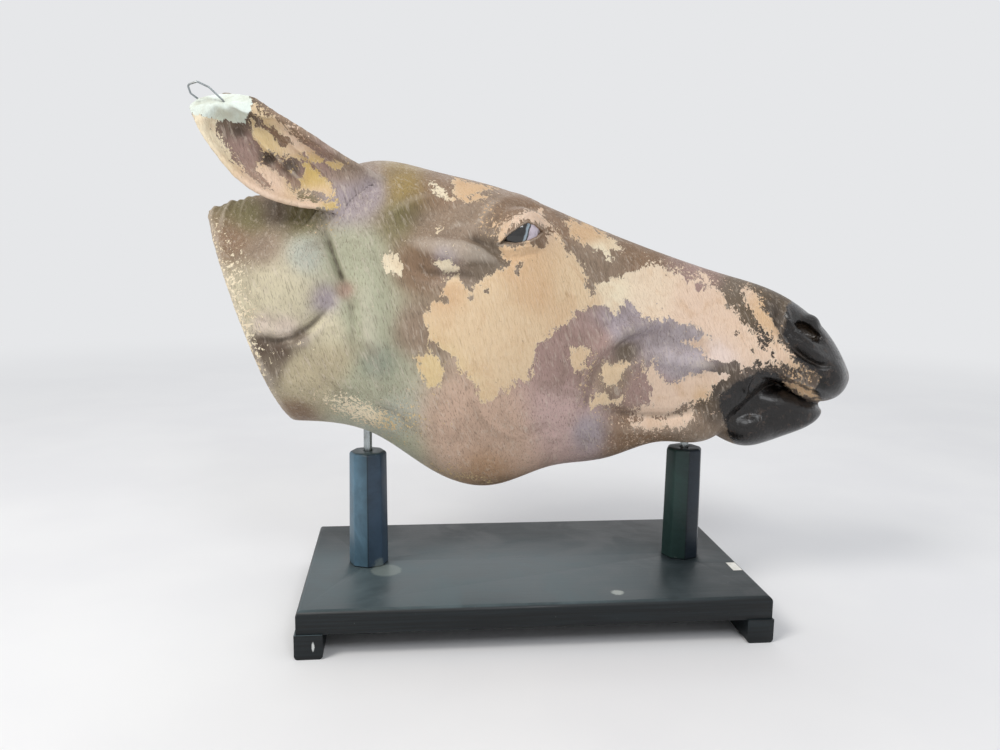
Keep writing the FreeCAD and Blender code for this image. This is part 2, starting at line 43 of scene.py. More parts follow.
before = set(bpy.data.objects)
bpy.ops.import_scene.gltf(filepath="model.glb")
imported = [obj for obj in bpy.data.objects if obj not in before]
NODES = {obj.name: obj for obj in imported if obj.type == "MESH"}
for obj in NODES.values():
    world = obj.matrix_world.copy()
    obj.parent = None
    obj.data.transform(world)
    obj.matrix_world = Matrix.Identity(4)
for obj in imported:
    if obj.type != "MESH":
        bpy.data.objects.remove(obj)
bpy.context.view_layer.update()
MM = 0.001
WELD = 0.02 * MM
TOUCH = 0.001 * MM

# Fits of the CAD casting, by which its faces are told apart.
ON_CUT = 0.08 * MM
EYE_FIT = 0.3 * MM
EYE_FIT_SLACK = 0.12 * MM
ROD_HOLE_REACH = 3.2 * MM
MUZZLE_X = 300 * MM
NECK_OVERRUN = 30 * MM

# The photograph's camera, found from the straight edges of the stand. A place on the head is
# given by its pixel in the 1000 x 750 photograph, seen from here.
PHOTO_SIZE = (1000, 750)
CAMERA_PLACE = Vector((-0.1595, -1.016, 0.439))
CAMERA_YAW_DEG = -6.3
CAMERA_PITCH_DEG = -8.8
CAMERA_ROLL_DEG = 0.8
FOCAL_PX = 870.0
SENSOR_MM = 36.0

# The studio in metres. A lamp has its place, size, power in watts and colour.
FLOOR_REACH = 30
LAMPS_AIM = (0, 0, 0.35)
LAMPS = (
    ("key", (-1.6, -1.2, 2.2), 0.9, 34, (1.0, 0.97, 0.93)),
    ("front", (0.35, -2.1, 1.9), 0.7, 16, (0.95, 0.97, 1.0)),
    ("rim", (0.3, 1.8, 2.0), 1.5, 10, (1, 1, 1)),
)


def rgb(code):
    """An sRGB hex colour as linear red, green, blue and an alpha of one."""
    parts = [int(code[i:i + 2], 16) / 255 for i in (0, 2, 4)]
    linear = [c / 12.92 if c <= 0.04045 else ((c + 0.055) / 1.055) ** 2.4 for c in parts]
    return (*linear, 1.0)


def camera_axes():
    """The camera's right, up and forward directions."""
    turn = Matrix.Rotation(math.radians(CAMERA_YAW_DEG), 3, "Z")
    turn = turn @ Matrix.Rotation(math.radians(CAMERA_PITCH_DEG), 3, "X")
    right, forward, up = turn.col[0], turn.col[1], turn.col[2]
    roll = math.radians(CAMERA_ROLL_DEG)
    rolled_right = math.cos(roll) * right + math.sin(roll) * up
    rolled_up = math.cos(roll) * up - math.sin(roll) * right
    return rolled_right, rolled_up, forward


def to_photo(points):
    """Pixels of the photograph for an array of places on the animal's right side."""
    right, up, forward = (np.array(axis) for axis in camera_axes())
    ray = points - np.array(CAMERA_PLACE)
    depth = ray @ forward
    across = PHOTO_SIZE[0] / 2 + FOCAL_PX * (ray @ right) / depth
    down = PHOTO_SIZE[1] / 2 - FOCAL_PX * (ray @ up) / depth
    return np.stack([across, down], axis=1)


def facing(points, normals):
    """How squarely the surface faces the camera, from 0 to 1."""
    ray = points - np.array(CAMERA_PLACE)
    ray /= np.linalg.norm(ray, axis=1)[:, None]
    square = -(ray * normals).sum(axis=1)
    return smooth_step(0.0, 0.3, square)


def smooth_step(low, high, value):
    """0 below low, 1 above high, and a smooth rise between them."""
    share = np.clip((value - low) / (high - low), 0, 1)
    return share * share * (3 - 2 * share)


def line_distance(pixels, line):
    """Distance to a line of pixels, which side of it (+ is left of its run), and how far along."""
    line = np.array(line, float)
    best = np.full(len(pixels), 1e9)
    side = np.zeros(len(pixels))
    along = np.zeros(len(pixels))
    lengths = np.linalg.norm(np.diff(line, axis=0), axis=1)
    total = lengths.sum()
    done = 0.0
    for start, run, length in zip(line[:-1], np.diff(line, axis=0), lengths):
        offset = pixels - start
        share = np.clip(offset @ run / length ** 2, 0, 1)
        gap = offset - share[:, None] * run
        distance = np.linalg.norm(gap, axis=1)
        nearer = distance < best
        best[nearer] = distance[nearer]
        cross = run[0] * offset[:, 1] - run[1] * offset[:, 0]
        side[nearer] = -np.sign(cross[nearer])
        along[nearer] = (done + share[nearer] * length) / total
        done += length
    return best, side, along


def inside_distance(pixels, outline):
    """Distance inside a closed outline of pixels, negative outside it."""
    outline = np.array(outline, float)
    closed = np.vstack([outline, outline[:1]])
    distance, _, _ = line_distance(pixels, closed)
    inside = np.zeros(len(pixels), bool)
    x, y = pixels[:, 0], pixels[:, 1]
    for (x0, y0), (x1, y1) in zip(closed[:-1], closed[1:]):
        if y0 == y1:
            continue
        crosses = (y0 > y) != (y1 > y)
        inside ^= crosses & (x < x0 + (y - y0) * (x1 - x0) / (y1 - y0))
    return np.where(inside, distance, -distance)


def oval_distance(pixels, middle, radii, turn_deg):
    """Distance from the middle of an oval as a share of its radius."""
    turn = math.radians(turn_deg)
    offset = pixels - np.array(middle, float)
    across = offset[:, 0] * math.cos(turn) + offset[:, 1] * math.sin(turn)
    down = offset[:, 1] * math.cos(turn) - offset[:, 0] * math.sin(turn)
    return np.hypot(across / radii[0], down / radii[1])


# Relief of the face. Height in millimetres, half width in pixels, and the line's pixels.
RIDGES_AND_GROOVES = {
    "upper lid": (2.2, 3.0, ((489, 247), (494, 235), (503, 225), (514, 218), (528, 215),
        (541, 218), (550, 225))),
    "fold over lid": (-2.4, 2.6, ((484, 243), (490, 228), (501, 216), (515, 209), (531, 207),
        (546, 212), (557, 222))),
    "brow": (3.5, 8, ((474, 230), (485, 212), (502, 201), (520, 197), (540, 201), (558, 212))),
    "lower lid": (1.6, 2.6, ((500, 250), (514, 249), (530, 246), (544, 241), (553, 235))),
    "groove under lid": (-1.6, 2.6, ((504, 257), (520, 257), (537, 252), (552, 244))),
    "tear corner": (-2.2, 2.2, ((545, 231), (553, 234), (560, 239))),
    "crease behind eye": (-8, 6, ((462, 236), (478, 240), (492, 247), (505, 257), (516, 267))),
    "below zygomatic bar": (-4.5, 6, ((402, 262), (430, 273), (462, 275), (496, 280))),
    "buccal arch": (6.0, 8, ((594, 378), (598, 360), (607, 344), (622, 332), (643, 324),
        (664, 322), (686, 328), (708, 337), (730, 343))),
    "fold under arch": (-3.0, 7, ((636, 352), (655, 345), (680, 346), (704, 352), (722, 358))),
    "cheek front crease": (-4.2, 6, ((616, 343), (605, 357), (596, 373), (590, 391), (586, 410),
        (583, 432))),
    "jaw bar crease": (-4, 5, ((588, 410), (612, 413), (640, 415), (668, 416), (694, 411),
        (718, 403))),
    "jaw bar": (2.5, 7, ((592, 428), (630, 430), (670, 430), (710, 422))),
    "nostril rim": (5.0, 2.8, ((787, 301), (786, 312), (789, 322), (795, 332), (803, 339),
        (813, 346), (822, 349))),
    "fold under nostril": (5.0, 4.6, ((790, 332), (798, 342), (808, 350), (820, 357), (832, 361))),
    "groove under nostril": (-5.5, 2.6, ((788, 343), (797, 352), (808, 360), (820, 366),
        (834, 366))),
    "groove behind nostril": (-4.0, 4.0, ((779, 305), (778, 320), (782, 334), (790, 345))),
    "inner lip": (3.0, 3.0, ((776, 371), (788, 374), (800, 379), (814, 386), (826, 392))),
    "lower lip edge": (4.0, 4.0, ((764, 377), (776, 379), (790, 385), (803, 394), (814, 403))),
    "fold over mouth": (2.5, 4, ((762, 366), (780, 371), (798, 378), (815, 385), (830, 390))),
    "mouth": (-4.0, 2.6, ((757, 378), (775, 382), (795, 387), (816, 394))),
    "mouth corner": (3.6, 2.6, ((758, 373), (749, 378), (745, 387), (747, 397))),
    "chin groove": (-2.6, 8, ((722, 424), (734, 417), (748, 412), (764, 410))),
    "parotid crease": (-8, 3.4, ((320, 221), (326, 237), (332, 254), (338, 270), (344, 285),
        (348, 297))),
    "parotid crease end": (-2.5, 7, ((346, 288), (351, 305), (354, 325), (352, 350))),
    "rim of neck swell": (-5.5, 4.5, ((243, 331), (258, 339), (276, 342), (294, 337), (310, 326),
                                      (324, 312), (338, 300))),
    "inside the arch": (-4.0, 3.0, ((611, 358), (617, 348), (627, 340), (640, 336), (656, 335))),
    "mane": (5.5, 10, ((208, 212), (238, 204), (268, 202), (300, 207), (330, 208))),
    "wrinkle by ear 1": (-1.8, 2.2, ((371, 163), (375, 173), (377, 187))),
    "wrinkle by ear 2": (-1.8, 2.2, ((381, 165), (386, 176), (386, 191))),
    "wrinkle by ear 3": (-1.4, 2.2, ((362, 165), (365, 175), (366, 187))),
    "ear inner fold": (4.2, 3.4, ((246, 126), (262, 143), (280, 161), (300, 180), (320, 197))),
    "ear fold groove": (-3.4, 4.0, ((238, 128), (254, 147), (272, 166), (292, 185), (310, 199))),
    "ear upper fold": (3.0, 3.2, ((262, 118), (285, 137), (308, 157), (330, 178), (342, 192))),
    "nasal groove": (-2, 6, ((566, 243), (588, 263), (612, 276), (640, 283), (668, 288))),
    "facial crest": (2.4, 6, ((560, 268), (588, 290), (612, 305), (636, 314))),
}

# Rounded forms: height in millimetres, middle pixel, radii in pixels and turn in degrees.
MOUNDS_AND_HOLLOWS = {
    "zygomatic bar": (9.5, (452, 250), (54, 17), 8),
    "temple": (-9, (430, 214), (42, 20), -12),
    "hollow over eye": (-4, (470, 213), (16, 11), -20),
    "buccal hollow": (-9, (629, 353), (24, 14), -35),
    "buccal lens": (5.5, (684, 361), (40, 13), 8),
    "nostril bulge": (6, (816, 319), (12, 7), 34),
    "nostril opening": (-10, (807, 331), (17, 7), 34),
    "upper lip": (6, (834, 378), (15, 20), 0),
    "lower lip": (7, (788, 402), (36, 18), 14),
    "chin": (5.5, (748, 432), (28, 18), -10),
    "neck swell": (18, (282, 270), (60, 56), 20),
    "hollow under neck swell": (-6, (276, 352), (54, 26), 35),
    "jaw edge": (7, (372, 330), (22, 110), -6),
    "cheek plate": (5, (500, 360), (92, 100), 0),
    "ear hole 1": (-3.5, (240, 132), (8, 10), -40),
    "ear hole 2": (-3.5, (271, 158), (9, 7), 30),
    "ear hole 3": (-4, (286, 168), (8, 8), 0),
}

# The eye: its middle and reach in pixels, the eyeball radii that the lids and the soft skin reach,
# how far the opening lies under the eyeball's skin, and how far the skin is held off it.
EYE_PIXEL = (522, 234)
EYE_REACH_PX = 40
LID_REACH_SHARE = 1.6
SOFT_REACH_SHARE = 2.3
SOFT_ROUNDS = 24
OPENING_DEPTH = 3 * MM
SKIN_OVER_EYE = 1 * MM

# Where the skin is made finer: middle pixel, radii in pixels and how many times it is divided.
# Each time takes in a somewhat smaller oval.
FINER_STEP = 0.22
CLOSE_AREAS = (
    ("eye", EYE_PIXEL, (44, 34), 2),
    ("muzzle", (790, 370), (72, 76), 1),
    ("ear", (272, 152), (100, 74), 1),
    ("neck fold", (334, 262), (26, 50), 1),
    ("buccal arch", (650, 345), (56, 28), 1),
)

EYE_OPENING = ((498.5, 244.5), (504.5, 238), (512, 232.5), (520, 227), (528, 222.6), (535, 225.2),
               (542, 231.5), (537, 236.5), (529, 240.2), (514, 244))


BARE_PATCHES = {
    "cheek and nose": ((428, 328), (424, 316), (432, 304), (441, 293), (444, 278), (459, 274),
        (463, 284), (473, 289), (481, 281), (488, 274), (500, 270), (510, 266), (503, 257),
        (501, 249), (514, 246), (532, 242), (544, 235), (553, 228), (558, 230), (561, 240),
        (564, 247), (573, 256), (582, 265), (585, 275), (588, 287), (592, 293), (596, 284),
        (609, 280), (617, 277), (632, 271), (644, 268), (655, 263), (666, 268), (676, 272),
        (686, 278), (696, 281), (698, 274), (705, 274), (715, 290), (724, 296), (724, 306),
        (737, 310), (740, 319), (749, 328), (764, 342), (781, 345), (796, 363), (820, 375),
        (793, 367), (778, 364), (752, 367), (726, 372), (714, 366), (707, 358), (702, 350),
        (680, 342), (708, 336), (702, 329), (686, 325), (670, 319), (652, 320), (643, 318),
        (633, 307), (626, 300), (619, 308), (616, 315), (605, 308), (595, 306), (588, 310),
        (576, 309), (573, 316), (567, 323), (558, 328), (551, 328), (547, 340), (536, 342),
        (534, 363), (529, 381), (514, 381), (509, 395), (501, 389), (498, 396), (486, 402),
        (479, 401), (475, 384), (459, 372), (456, 361), (444, 357), (440, 389), (429, 388),
        (422, 375), (413, 356), (426, 351), (429, 340)),
    "strip before the eye": ((564, 221), (569, 228), (570, 235), (579, 241), (588, 246),
        (600, 253), (610, 261), (612, 257), (609, 249), (617, 252), (623, 250), (620, 244),
        (611, 238), (602, 232), (591, 226), (579, 222), (570, 219)),
    "cheek front": ((572, 348), (588, 347), (591, 354), (586, 363), (582, 372), (573, 369),
        (570, 359)),
    "below the arch": ((602, 364), (617, 362), (630, 363), (623, 372), (617, 384), (605, 386),
        (600, 375)),
    "over the jaw": ((591, 395), (602, 392), (611, 398), (623, 395), (620, 404), (605, 406),
        (588, 408)),
    "behind the mouth": ((649, 357), (658, 372), (664, 385), (676, 381), (693, 375), (711, 369),
        (732, 372), (726, 381), (711, 389), (708, 398), (693, 406), (682, 406), (664, 416),
        (649, 419), (635, 420), (629, 413), (649, 404), (652, 386), (644, 372)),
    "jaw bar": ((632, 422), (644, 417), (664, 419), (682, 411), (696, 410), (693, 419),
        (682, 429), (664, 428), (649, 429), (635, 428)),
    "forehead": ((454, 178), (470, 182), (488, 186), (497, 190), (479, 191), (478, 194),
        (468, 199), (457, 196), (452, 187)),
    "forehead streak": ((429, 183), (438, 186), (446, 193), (456, 199), (450, 201), (438, 196),
        (431, 190)),
    "thin streak": ((460, 199), (473, 196), (488, 195), (487, 199), (470, 202)),
    "upper eyelid": ((513, 215), (529, 210), (541, 210), (545, 218), (553, 225), (547, 228),
        (538, 223), (526, 220), (516, 222), (507, 231), (501, 241), (496, 237), (500, 228),
        (508, 221)),
    "zygomatic bar": ((431, 265), (438, 260), (447, 260), (460, 268), (453, 272), (438, 270)),
    "temple spot": ((432, 229), (437, 224), (442, 228), (436, 232)),
    "streak by the nostril": ((741, 286), (748, 283), (756, 295), (762, 309), (772, 321),
        (781, 331), (776, 337), (768, 331), (759, 322), (751, 308), (744, 297)),
    "mouth strip": ((782, 381), (792, 382), (806, 388), (820, 394), (818, 400), (806, 397),
        (792, 391), (784, 387)),
    "beside the jaw edge": ((383, 256), (391, 252), (399, 256), (403, 272), (400, 280),
        (393, 272), (385, 270)),
}
BLACK_PARTS = {
    "nostrils": ((787, 304), (795, 300), (812, 304), (828, 322), (839, 342), (849, 360),
        (849, 392), (834, 401), (818, 399), (812, 391), (822, 378), (811, 372), (796, 361),
        (790, 347), (781, 334), (784, 319)),
    "lower lip": ((722, 394), (731, 385), (745, 377), (764, 370), (778, 373), (790, 389),
        (809, 400), (820, 404), (824, 423), (790, 438), (758, 452), (737, 448), (727, 432),
        (724, 420), (719, 406)),
}

# A palette. The paint tones are laid with wide soft brushes, the grounds show where the paint
# has flaked off.
# Pink cream and pale lavender are painted highlights; dark browns in hollows are painted shade.
# Some tones are painted light. The lavender ones are a painted sheen on raised, glossy parts.
PALETTE = {
    "mauve": "ab9080", "rose brown": "a68a82", "umber": "8b7058", "dark umber": "5f5140",
    "olive": "9c8550", "moss": "77704a", "sage green": "b3b49a", "cream grey": "c2b596",
    "pale neck with highlight": "d2c8ab", "blue grey": "b4b7aa", "lavender sheen": "a79ba0", "pale sheen highlight": "b9aeb2",
    "shadow brown": "76695a", "mouse brown": "96826f", "ink brown shade": "453d36",
    "tan": "dec4a1", "yellow tan": "dbc394", "orange tan": "d6b48e", "cream": "eddfc2",
    "nose cream": "e8d3b9", "warm mauve": "c9ab96", "pink mauve": "c8aba5", "tan umber": "af8d6f",
    "pink cream highlight": "dccbbb", "grey green": "8f9684", "swell shadow brown": "56463a", "peach": "e4c9b2",
    "pale peach": "ead6cb", "ochre": "c9ae6b",
}

PAINT_DABS = (
    # Lavender dabs, here at the ear's root and below on the face and neck, are a painted sheen.
    ("mouse brown", (345, 172), 26), ("lavender sheen", (346, 194), 20), ("lavender sheen", (372, 192), 16),
    ("olive", (402, 190), 24), ("moss", (402, 214), 18), ("umber", (440, 190), 24),
    ("mouse brown", (470, 214), 26), ("mouse brown", (430, 225), 20), ("mouse brown",
    (455, 240), 22), ("lavender sheen", (446, 254), 10),
    # Shadow brown behind the eye is painted shade in the crease there.
    ("shadow brown", (484, 252), 18), ("umber", (515, 205), 20), ("sage green", (352, 262), 24),
    ("sage green", (358, 318), 30), ("sage green", (374, 392), 30), ("blue grey", (392, 420), 22),
    ("sage green", (400, 448), 24), ("umber", (420, 264), 18), ("mouse brown", (418, 330), 18),
    ("moss", (300, 212), 18), ("moss", (250, 218), 18), ("shadow brown", (275, 212), 14),
    # Pale neck is the neck's pale paint, lightest on the swell as a painted highlight.
    ("umber", (236, 240), 16), ("mouse brown", (262, 248), 18), ("pale neck with highlight", (276, 290), 36),
    ("blue grey", (304, 256), 14), ("pale neck with highlight", (248, 306), 20),
    # Painted shadow under the rim of the neck swell, with a painted highlight of pink cream over
    # it.
    ("swell shadow brown", (260, 347), 10), ("swell shadow brown", (280, 350), 9), ("shadow brown", (268, 366), 11),
    ("shadow brown", (300, 338), 7), ("pink cream highlight", (284, 327), 9), ("pink cream highlight", (262, 322), 9),
    ("lavender sheen", (326, 300), 11), ("mauve", (345, 290), 7), ("umber", (297, 416), 12),
    ("cream grey", (310, 380), 20), ("grey green", (376, 366), 15), ("cream grey", (330, 360), 20),
    ("pale neck with highlight", (330, 330), 16), ("warm mauve", (450, 430), 34), ("warm mauve", (500, 430), 34),
    ("rose brown", (560, 360), 30), ("pink mauve", (556, 415), 28), ("tan umber", (486, 468), 20),
    ("lavender sheen", (586, 430), 12), ("umber", (640, 436), 24), ("mouse brown", (700, 425), 22),
    # Painted sheen on the buccal arch, painted shade in the hollow inside it, painted highlight on
    # the lens.
    ("lavender sheen", (622, 328), 16), ("rose brown", (600, 342), 14), ("shadow brown", (624, 351), 9),
    ("pale sheen highlight", (676, 350), 22), ("lavender sheen", (660, 318), 16),
    ("rose brown", (645, 392), 18), ("mouse brown", (612, 378), 14), ("mouse brown",
    (600, 262), 24),
    ("umber", (560, 214), 20), ("umber", (640, 248), 22), ("rose brown", (700, 270), 24),
    # Ink brown here is painted shade in the groove behind the nostril and at the end of the jaw
    # crease.
    ("dark umber", (752, 302), 20), ("shadow brown", (735, 290), 16), ("ink brown shade",
    (770, 340), 16), ("ink brown shade", (772, 310), 10), ("ink brown shade", (720, 398), 16), ("ink brown shade",
    (712, 414), 11), ("dark umber", (708, 404), 12),
    ("dark umber", (790, 300), 14), ("dark umber", (240, 120), 22), ("umber", (290, 118), 24),
    # Ink brown in the ear's three holes is painted shade.
    ("ink brown shade", (238, 131), 8), ("ink brown shade", (270, 158), 7), ("ink brown shade", (290, 168), 8),
    ("rose brown", (240, 142), 20), ("mauve", (275, 180), 20), ("rose brown", (320, 165), 18),
)

GROUND_DABS = (
    ("tan", (480, 320), 44), ("yellow tan", (430, 372), 26), ("orange tan", (450, 296), 16),
    ("tan", (520, 350), 26), ("orange tan", (540, 290), 20), ("orange tan", (520, 262), 16),
    ("tan", (570, 290), 22), ("nose cream", (640, 290), 30), ("cream", (618, 292), 14),
    ("peach", (700, 306), 26), ("peach", (738, 334), 22), ("pale peach", (722, 354), 12),
    ("peach", (690, 395), 26), ("tan", (606, 376), 16), ("peach", (660, 424), 18),
    ("orange tan", (478, 190), 20), ("cream", (437, 190), 10), ("orange tan", (594, 232), 16),
    ("cream", (600, 250), 12), ("peach", (528, 216), 14), ("cream", (350, 408), 30),
    ("yellow tan", (400, 436), 22),
    ("cream", (444, 265), 14), ("cream", (392, 262), 14), ("cream", (230, 300), 40),
    ("ochre", (308, 176), 18), ("yellow tan", (268, 140), 16), ("cream", (200, 120), 22),
    ("peach", (310, 203), 18), ("peach", (270, 184), 14), ("peach", (300, 130), 22),
    ("ochre", (328, 212), 12), ("orange tan", (765, 316), 12), ("orange tan", (700, 396), 9),
    ("orange tan", (800, 388), 9), ("yellow tan", (430, 480), 30),
)

# Old paint still held inside the bare patches: middle pixel and radius.
PAINT_REMAINS = (
    ((502, 303), 11), ((522, 296), 7), ((544, 286), 8), ((561, 300), 7), ((700, 289), 6),
    ((736, 334), 6), ((543, 244), 7), ((523, 263), 6), ((519, 274), 6), ((438, 352), 8),
    ((752, 352), 6), ((764, 346), 6), ((733, 365), 7), ((718, 366), 6), ((757, 362), 4),
    ((772, 354), 4), ((744, 344), 4), ((470, 300), 5), ((486, 292), 5), ((512, 312), 4),
    ((446, 302), 5), ((655, 282), 4), ((676, 296), 4),
)
EAR_REMAINS = (((238, 130), 7), ((271, 158), 7), ((289, 168), 8), ((283, 142), 5), ((318, 196), 6))

# Where small flakes have come off: strength, middle pixel, radii and turn.
FLAKED_AREAS = {
    "muzzle": (1.0, (762, 348), (56, 30), 18), "mouth": (0.9, (800, 376), (30, 14), 20),
    "jaw bar": (0.95, (655, 415), (78, 18), -3), "jaw underside": (0.8, (640, 442), (70, 14), -6),
    "brow": (1.0, (492, 222), (24, 22), -40), "nose ridge": (0.8, (690, 272), (70, 12), 20),
    "nostril top": (0.9, (756, 304), (24, 16), 30), "cheek back": (0.85, (405, 420), (36, 48), 55),
    "jaw edge": (0.9, (450, 474), (90, 13), 12), "cheek front": (0.8, (588, 380), (14, 50), 8),
    "side": (0.5, (640, 380), (60, 36), 0), "poll edge": (0.7, (332, 212), (30, 10), 10),
    "neck edge": (1.1, (240, 300), (26, 110), -16), "neck hollow": (0.6, (282, 350), (30, 22), 30),
    "neck bottom": (1.7, (362, 412), (56, 15), 20), "below the ear": (0.8, (322, 226),
    (30, 12), 10),
    "temple": (0.5, (440, 226), (30, 18), 0), "ear rim": (0.95, (215, 160), (70, 26), 42),
    "ear back": (0.75, (290, 126), (60, 14), 36), "ear root": (0.8, (310, 196), (40, 20), 20),
    "ear inside": (0.7, (280, 156), (46, 20), 42),
}

BROKEN_TIP = ((176, 92), (205, 80), (246, 78), (252, 102), (245, 124), (230, 121), (206, 118),
              (186, 112))

EAR_PATCHES = {
    "ear ochre": ((247, 126), (252, 119), (269, 132), (276, 138), (292, 140), (304, 154),
        (320, 174),
                  (336, 190), (336, 199), (318, 196), (300, 190), (298, 178), (304, 168),
                  (290, 156),
                  (276, 158), (264, 152), (256, 142)),
    "ear rim": ((186, 104), (204, 112), (220, 116), (214, 124), (222, 140), (236, 160), (258, 184),
                (290, 198), (330, 200), (340, 208), (290, 211), (262, 200), (236, 182), (214, 158),
                (196, 132)),
    "ear peach": ((260, 160), (270, 164), (286, 176), (294, 192), (304, 200), (338, 199),
        (338, 208),
                  (290, 210), (276, 196), (268, 182), (258, 170)),
    "ear upper rim": ((238, 94), (246, 98), (262, 110), (282, 124), (300, 142), (318, 156),
        (346, 164),
                      (338, 170), (318, 164), (300, 152), (280, 134), (258, 118), (242, 106)),
}


def copy_of(names):
    """A welded copy of some CAD nodes, as one bmesh."""
    mesh = bmesh.new()
    for name in names:
        mesh.from_mesh(NODES[name].data)
    bmesh.ops.remove_doubles(mesh, verts=mesh.verts, dist=WELD)
    return mesh


def new_object(name, mesh, smooth=True, crease_deg=None):
    """An object from a bmesh, which is freed. Edges sharper than the crease stay crisp."""
    if crease_deg is not None:
        for edge in mesh.edges:
            edge.smooth = edge.calc_face_angle(0) < math.radians(crease_deg)
    data = bpy.data.meshes.new(name)
    mesh.to_mesh(data)
    mesh.free()
    for polygon in data.polygons:
        polygon.use_smooth = smooth
    thing = bpy.data.objects.new(name, data)
    bpy.context.scene.collection.objects.link(thing)
    return thing


def applied(thing):
    """The bmesh that an object's modifiers give. The object goes."""
    graph = bpy.context.evaluated_depsgraph_get()
    data = bpy.data.meshes.new_from_object(thing.evaluated_get(graph))
    mesh = bmesh.new()
    mesh.from_mesh(data)
    bpy.data.objects.remove(thing)
    bpy.data.meshes.remove(data)
    return mesh


def islands(mesh):
    """Groups of faces that hang together."""
    left = set(mesh.faces)
    groups = []
    while left:
        reached = [left.pop()]
        group = list(reached)
        while reached:
            for edge in reached.pop().edges:
                for face in edge.link_faces:
                    if face in left:
                        left.remove(face)
                        reached.append(face)
                        group.append(face)
        groups.append(group)
    return groups


def middle_and_radius(node):
    """Middle and radius of a round CAD node."""
    low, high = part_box(node)
    return (low + high) / 2, (high.x - low.x) / 2


def neck_cut():
    """A point of the cut across the neck and the direction out of the neck."""
    # Two places on the cut, in millimetres.
    upper, lower = Vector((-380.8, 0, 475.2)), Vector((-285.7, 0, 221.8))
    line = (upper - lower).normalized()
    back = Vector((-line.z, 0, line.x))
    reach = max(v.co.dot(back) for v in NODES["head_shell_right"].data.vertices)
    return back * reach, back


def skins_of_casting():
    """Outer and inner skin of the CAD casting, both closed, as two bmeshes."""
    mesh = copy_of(("head_shell_left", "head_shell_right"))
    cut, back = neck_cut()
    rods = [middle_and_radius(rod) for rod in ("rod_rear", "rod_front")]
    eyes = [middle_and_radius(eye) for eye in ("eye_left", "eye_right")]
    gone = set()
    for face in mesh.faces:
        places = [v.co for v in face.verts]
        if all(abs(p.y) < ON_CUT for p in places):
            gone.add(face)
        elif all(abs((p - cut).dot(back)) < ON_CUT for p in places):
            gone.add(face)
        for middle, radius in rods:
            if all(math.hypot(p.x - middle.x, p.y) < radius + ROD_HOLE_REACH for p in places):
                gone.add(face)
        for middle, radius in eyes:
            gaps = [abs((p - middle).length - radius - EYE_FIT) for p in places]
            if max(gaps) < EYE_FIT_SLACK:
                gone.add(face)
    bmesh.ops.delete(mesh, geom=list(gone), context="FACES")
    bmesh.ops.remove_doubles(mesh, verts=mesh.verts, dist=0.1 * MM)
    inner = mesh.copy()
    for skin, wanted in ((mesh, True), (inner, False)):
        other = []
        for group in islands(skin):
            front = max(v.co.x for face in group for v in face.verts)
            if (front > MUZZLE_X) != wanted:
                other += group
        bmesh.ops.delete(skin, geom=other, context="FACES")
    rim = [e for e in inner.edges
           if e.is_boundary and abs((e.verts[0].co - cut).dot(back)) < 1 * MM]
    spread = bmesh.ops.extrude_edge_only(inner, edges=rim)["geom"]
    moved = [g for g in spread if isinstance(g, bmesh.types.BMVert)]
    bmesh.ops.translate(inner, verts=moved, vec=back * NECK_OVERRUN)
    for skin in (mesh, inner):
        bmesh.ops.holes_fill(skin, edges=[e for e in skin.edges if e.is_boundary], sides=0)
        bmesh.ops.triangulate(skin, faces=skin.faces)
        bmesh.ops.recalc_face_normals(skin, faces=skin.faces)
    return mesh, inner


def voxel_skin(mesh, size):
    """The outside of a closed bmesh as one even skin."""
    thing = new_object("skin", mesh)
    remesh = thing.modifiers.new("even skin", "REMESH")
    remesh.mode = "VOXEL"
    remesh.voxel_size = size
    mesh = applied(thing)
    groups = sorted(islands(mesh), key=len)
    bmesh.ops.delete(mesh, geom=[f for g in groups[:-1] for f in g], context="FACES")
    return mesh


def arrays(mesh):
    """Places and normals of a bmesh's vertices."""
    mesh.normal_update()
    mesh.verts.ensure_lookup_table()
    places = np.array([v.co for v in mesh.verts])
    normals = np.array([v.normal for v in mesh.verts])
    return places, normals


def put_back(mesh, places):
    """Moves a bmesh's vertices, and keeps those of the middle plane in it."""
    for vert, place in zip(mesh.verts, places):
        on_plane = abs(vert.co.y) < TOUCH
        vert.co = place
        if on_plane or vert.co.y > 0:
            vert.co.y = 0


def smooth(mesh, verts, rounds, factor=0.5):
    """Smooths some vertices, along the middle plane where they lie in it."""
    for _ in range(rounds):
        bmesh.ops.smooth_vert(mesh, verts=verts, factor=factor, use_axis_x=True, use_axis_y=True,
                              use_axis_z=True, mirror_clip_y=True, clip_dist=TOUCH)


def face_relief(pixels, on_ear):
    """Height of the modelled relief in metres at each pixel, on the ear or on the head."""
    height = hair_locks(pixels) * (1 - on_ear)
    for name, (tall, half_width, line) in RIDGES_AND_GROOVES.items():
        distance, _, along = line_distance(pixels, line)
        taper = smooth_step(-0.05, 0.34, along) * smooth_step(1.05, 0.66, along)
        share = on_ear if name.startswith("ear ") else 1 - on_ear
        height += tall * MM * np.exp(-(distance / half_width) ** 2) * taper * share
    for name, (tall, middle, radii, turn_deg) in MOUNDS_AND_HOLLOWS.items():
        distance = oval_distance(pixels, middle, radii, turn_deg)
        share = on_ear if name.startswith("ear ") else 1 - on_ear
        height += tall * MM * np.clip(1 - distance ** 2, 0, 1) ** 1.5 * share
    return height


def mark_ear(skin):
    """Marks the skin's vertices that belong to the ear."""
    layer = skin.verts.layers.float.new("ear")
    ear = copy_of(("ear_left",))
    bmesh.ops.scale(ear, vec=(1, -1, 1), verts=ear.verts)
    tree = BVHTree.FromBMesh(ear)
    ear.free()
    for vert in skin.verts:
        if vert.co.x < -0.05 and vert.co.z > 0.41:
            _, _, _, distance = tree.find_nearest(vert.co)
            vert[layer] = 1.0 if distance < 0.0022 else 0.0


